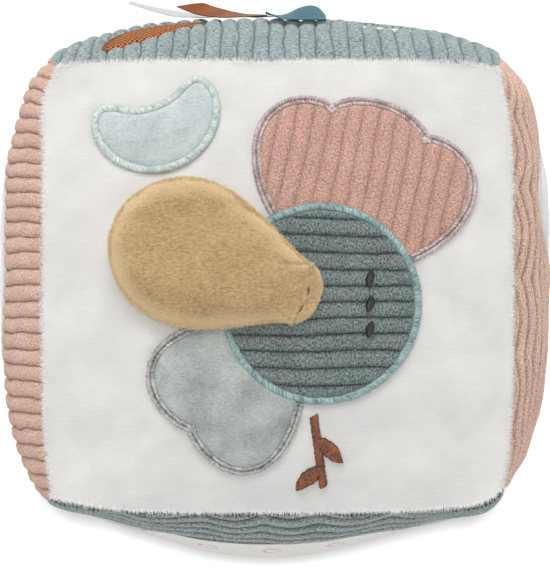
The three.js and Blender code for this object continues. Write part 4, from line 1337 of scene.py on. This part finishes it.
def filling(name, side):
    """Half of the filling round the rattle's pocket, lumpy where it meets the panels."""
    turns, rises = 160, 60
    pocket_radius, pocket_half, middle = 19.6, 14.6, REST + side * 0.3
    turn = np.linspace(0, 2 * math.pi, turns, endpoint=False)[:, None]
    polar = np.linspace(0.02, math.pi / 2, rises)[None, :]
    way = np.stack(np.broadcast_arrays(np.sin(polar) * np.cos(turn), np.sin(polar) * np.sin(turn),
                                       side * np.cos(polar)), -1)
    centre = np.array([0.0, 0.0, REST])
    outward = skin(*np.moveaxis(way / np.abs(way).max(-1, keepdims=True), -1, 0)) - centre
    lump = 3.4 + 0.5 * ripples(turn * 40, polar * 60 + side * 9, 16, 601)[..., None]
    outer = centre + outward * (1 - lump / np.linalg.norm(outward, axis=-1, keepdims=True))
    outer[..., 2] = np.maximum(outer[..., 2], PANEL + 0.5)
    outer[:, -1, 2] = middle
    rim = np.stack(np.broadcast_arrays(np.cos(turn), np.sin(turn), 0 * turn), -1) * pocket_radius
    base = outer[:, -1:]
    inner = np.concatenate([base + (centre + rim - base) * share for share in (0.33, 0.66, 1.0)], 1)
    inner[..., 2] = middle
    depth = centre + np.array([0, 0, side * pocket_half])
    rows = np.concatenate([outer, inner, depth + rim, depth + rim * 0.02], 1)
    count = rows.shape[1]
    number = turns * count
    index = np.arange(number).reshape(turns, count)
    here, there = index, np.roll(index, -1, 0)
    faces = np.stack([here[:, :-1], there[:, :-1], there[:, 1:], here[:, 1:]], -1).reshape(-1, 4).tolist()
    for at, order, end in ((0, -1, number), (-1, 1, number + 1)):
        faces += [[*pair[::order], end] for pair in zip(here[:, at].tolist(), there[:, at].tolist())]
    points = np.concatenate([rows.reshape(-1, 3), [rows[:, 0].mean(0), rows[:, -1].mean(0)]])
    piece = make(name, points, [face[::side] for face in faces], wadding, "filling", ending="")


filling("filling_front", 1)
filling("filling_back", -1)

for finish, nodes in ((rattle_plastic, ("rattle_cup", "rattle_lid")), (film_plastic, ("flap_crinkle_film",)),
                      (ball_plastic, ("rattle_ball_1", "rattle_ball_2", "rattle_ball_3"))):
    for node in nodes:
        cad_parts[node].data.materials.clear()
        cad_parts[node].data.materials.append(finish)


# Floor, surroundings and lamps


def background_rays(finish):
    """1 for what the camera sees straight, in a mirror or through glass."""
    camera_ray, mirror_ray, glass_ray = (finish.node("LightPath", output=f"Is {ray} Ray")
                                         for ray in ("Camera", "Glossy", "Transmission"))
    total = camera_ray + mirror_ray + glass_ray
    return total.math("MINIMUM", total, 1.0)


WHITE = (1, 1, 1, 1)
paper = Finish("floor_paper", Roughness=0.9, Base_Color=tone(146, 146, 146), Specular_IOR_Level=0.0)
glow = paper.node("Emission", {"Color": WHITE, "Strength": 0.3})
matt = paper.node("BsdfDiffuse", {"Color": (0.45, 0.45, 0.45, 1)})
white = paper.node("Emission", {"Color": WHITE, "Strength": 1.0})
far = paper.spread(paper.vector("LENGTH", paper.place, output="Value"), 260.0, 650.0)
seen = paper.node("MixShader", {0: far, 1: paper.node("AddShader", {0: glow, 1: matt}), 2: white})
mixed = paper.node("MixShader", {0: background_rays(paper), 1: Wire(paper, paper.shader.outputs[0]), 2: seen})
output = next(n for n in paper.tree.nodes if n.type == "OUTPUT_MATERIAL")
paper.tree.links.new(mixed.socket, output.inputs["Surface"])
FLOOR_REACH, FLOOR_LEVEL = 3.0, -0.0004
floor_mesh = bpy.data.meshes.new("floor")
floor_mesh.from_pydata([(FLOOR_REACH * x, FLOOR_REACH * y, FLOOR_LEVEL) for x, y in
                        ((-1, -1), (1, -1), (1, 1), (-1, 1))], [], [(0, 1, 2, 3)])
floor_mesh.materials.append(paper.material)
floor = placed("floor", floor_mesh)


class Sky(Finish):
    """The surroundings: white behind the object, and a plain soft light on it."""

    def __init__(self, world):
        world.use_nodes = True
        self.tree = world.node_tree
        self.tree.nodes.clear()
        strength = self.spread(background_rays(self), 0.0, 1.0, 0.34, 1.0)
        shade = self.node("Background", {"Color": WHITE, "Strength": strength})
        self.tree.links.new(shade.socket, self.tree.nodes.new("ShaderNodeOutputWorld").inputs["Surface"])


world = bpy.data.worlds.new("studio")
bpy.context.scene.world = world
Sky(world)

# What each lamp lights, and what throws a shadow in its light
lit = {}
for name, state, members in (("all_but_floor", "EXCLUDE", [floor]), ("floor_only", "INCLUDE", [floor]),
                             ("all_but_ribbons", "EXCLUDE", ribbons)):
    lit[name] = bpy.data.collections.new(name)
    for number, member in enumerate(members):
        lit[name].objects.link(member)
        lit[name].collection_objects[number].light_linking.link_state = state

LAMP_TARGET = (0, 0, 0.08)


def lamp(name, place_m, size, power, receivers="all_but_floor", blockers=None):
    """A soft square lamp turned to the block."""
    data = bpy.data.lights.new(name, "AREA")
    data.shape = "SQUARE"
    data.size = size
    data.energy = power
    made = placed(name, data)
    made.location = place_m
    made.rotation_euler = (Vector(LAMP_TARGET) - Vector(place_m)).to_track_quat("-Z", "Y").to_euler()
    made.light_linking.receiver_collection = lit[receivers]
    made.light_linking.blocker_collection = lit.get(blockers)


# The shadow on the paper comes from a lamp of its own
lamp("shadow", (0, 0.07, 1.7), 0.1, 46.0, "floor_only", "all_but_ribbons")
lamp("overhead", (0, 0.09, 1.7), 0.12, 6.9)
lamp("window", (-0.1, 0.8, 0.7), 0.6, 5.7)
lamp("from_below", (0, -1.0, 0.25), 0.7, 3.2)
lamp("from_left", (-1.0, 0.1, 0.4), 0.7, 2.4)
lamp("from_right", (1.0, 0.1, 0.4), 0.7, 2.4)

bpy.context.scene.view_settings.view_transform = "Standard"
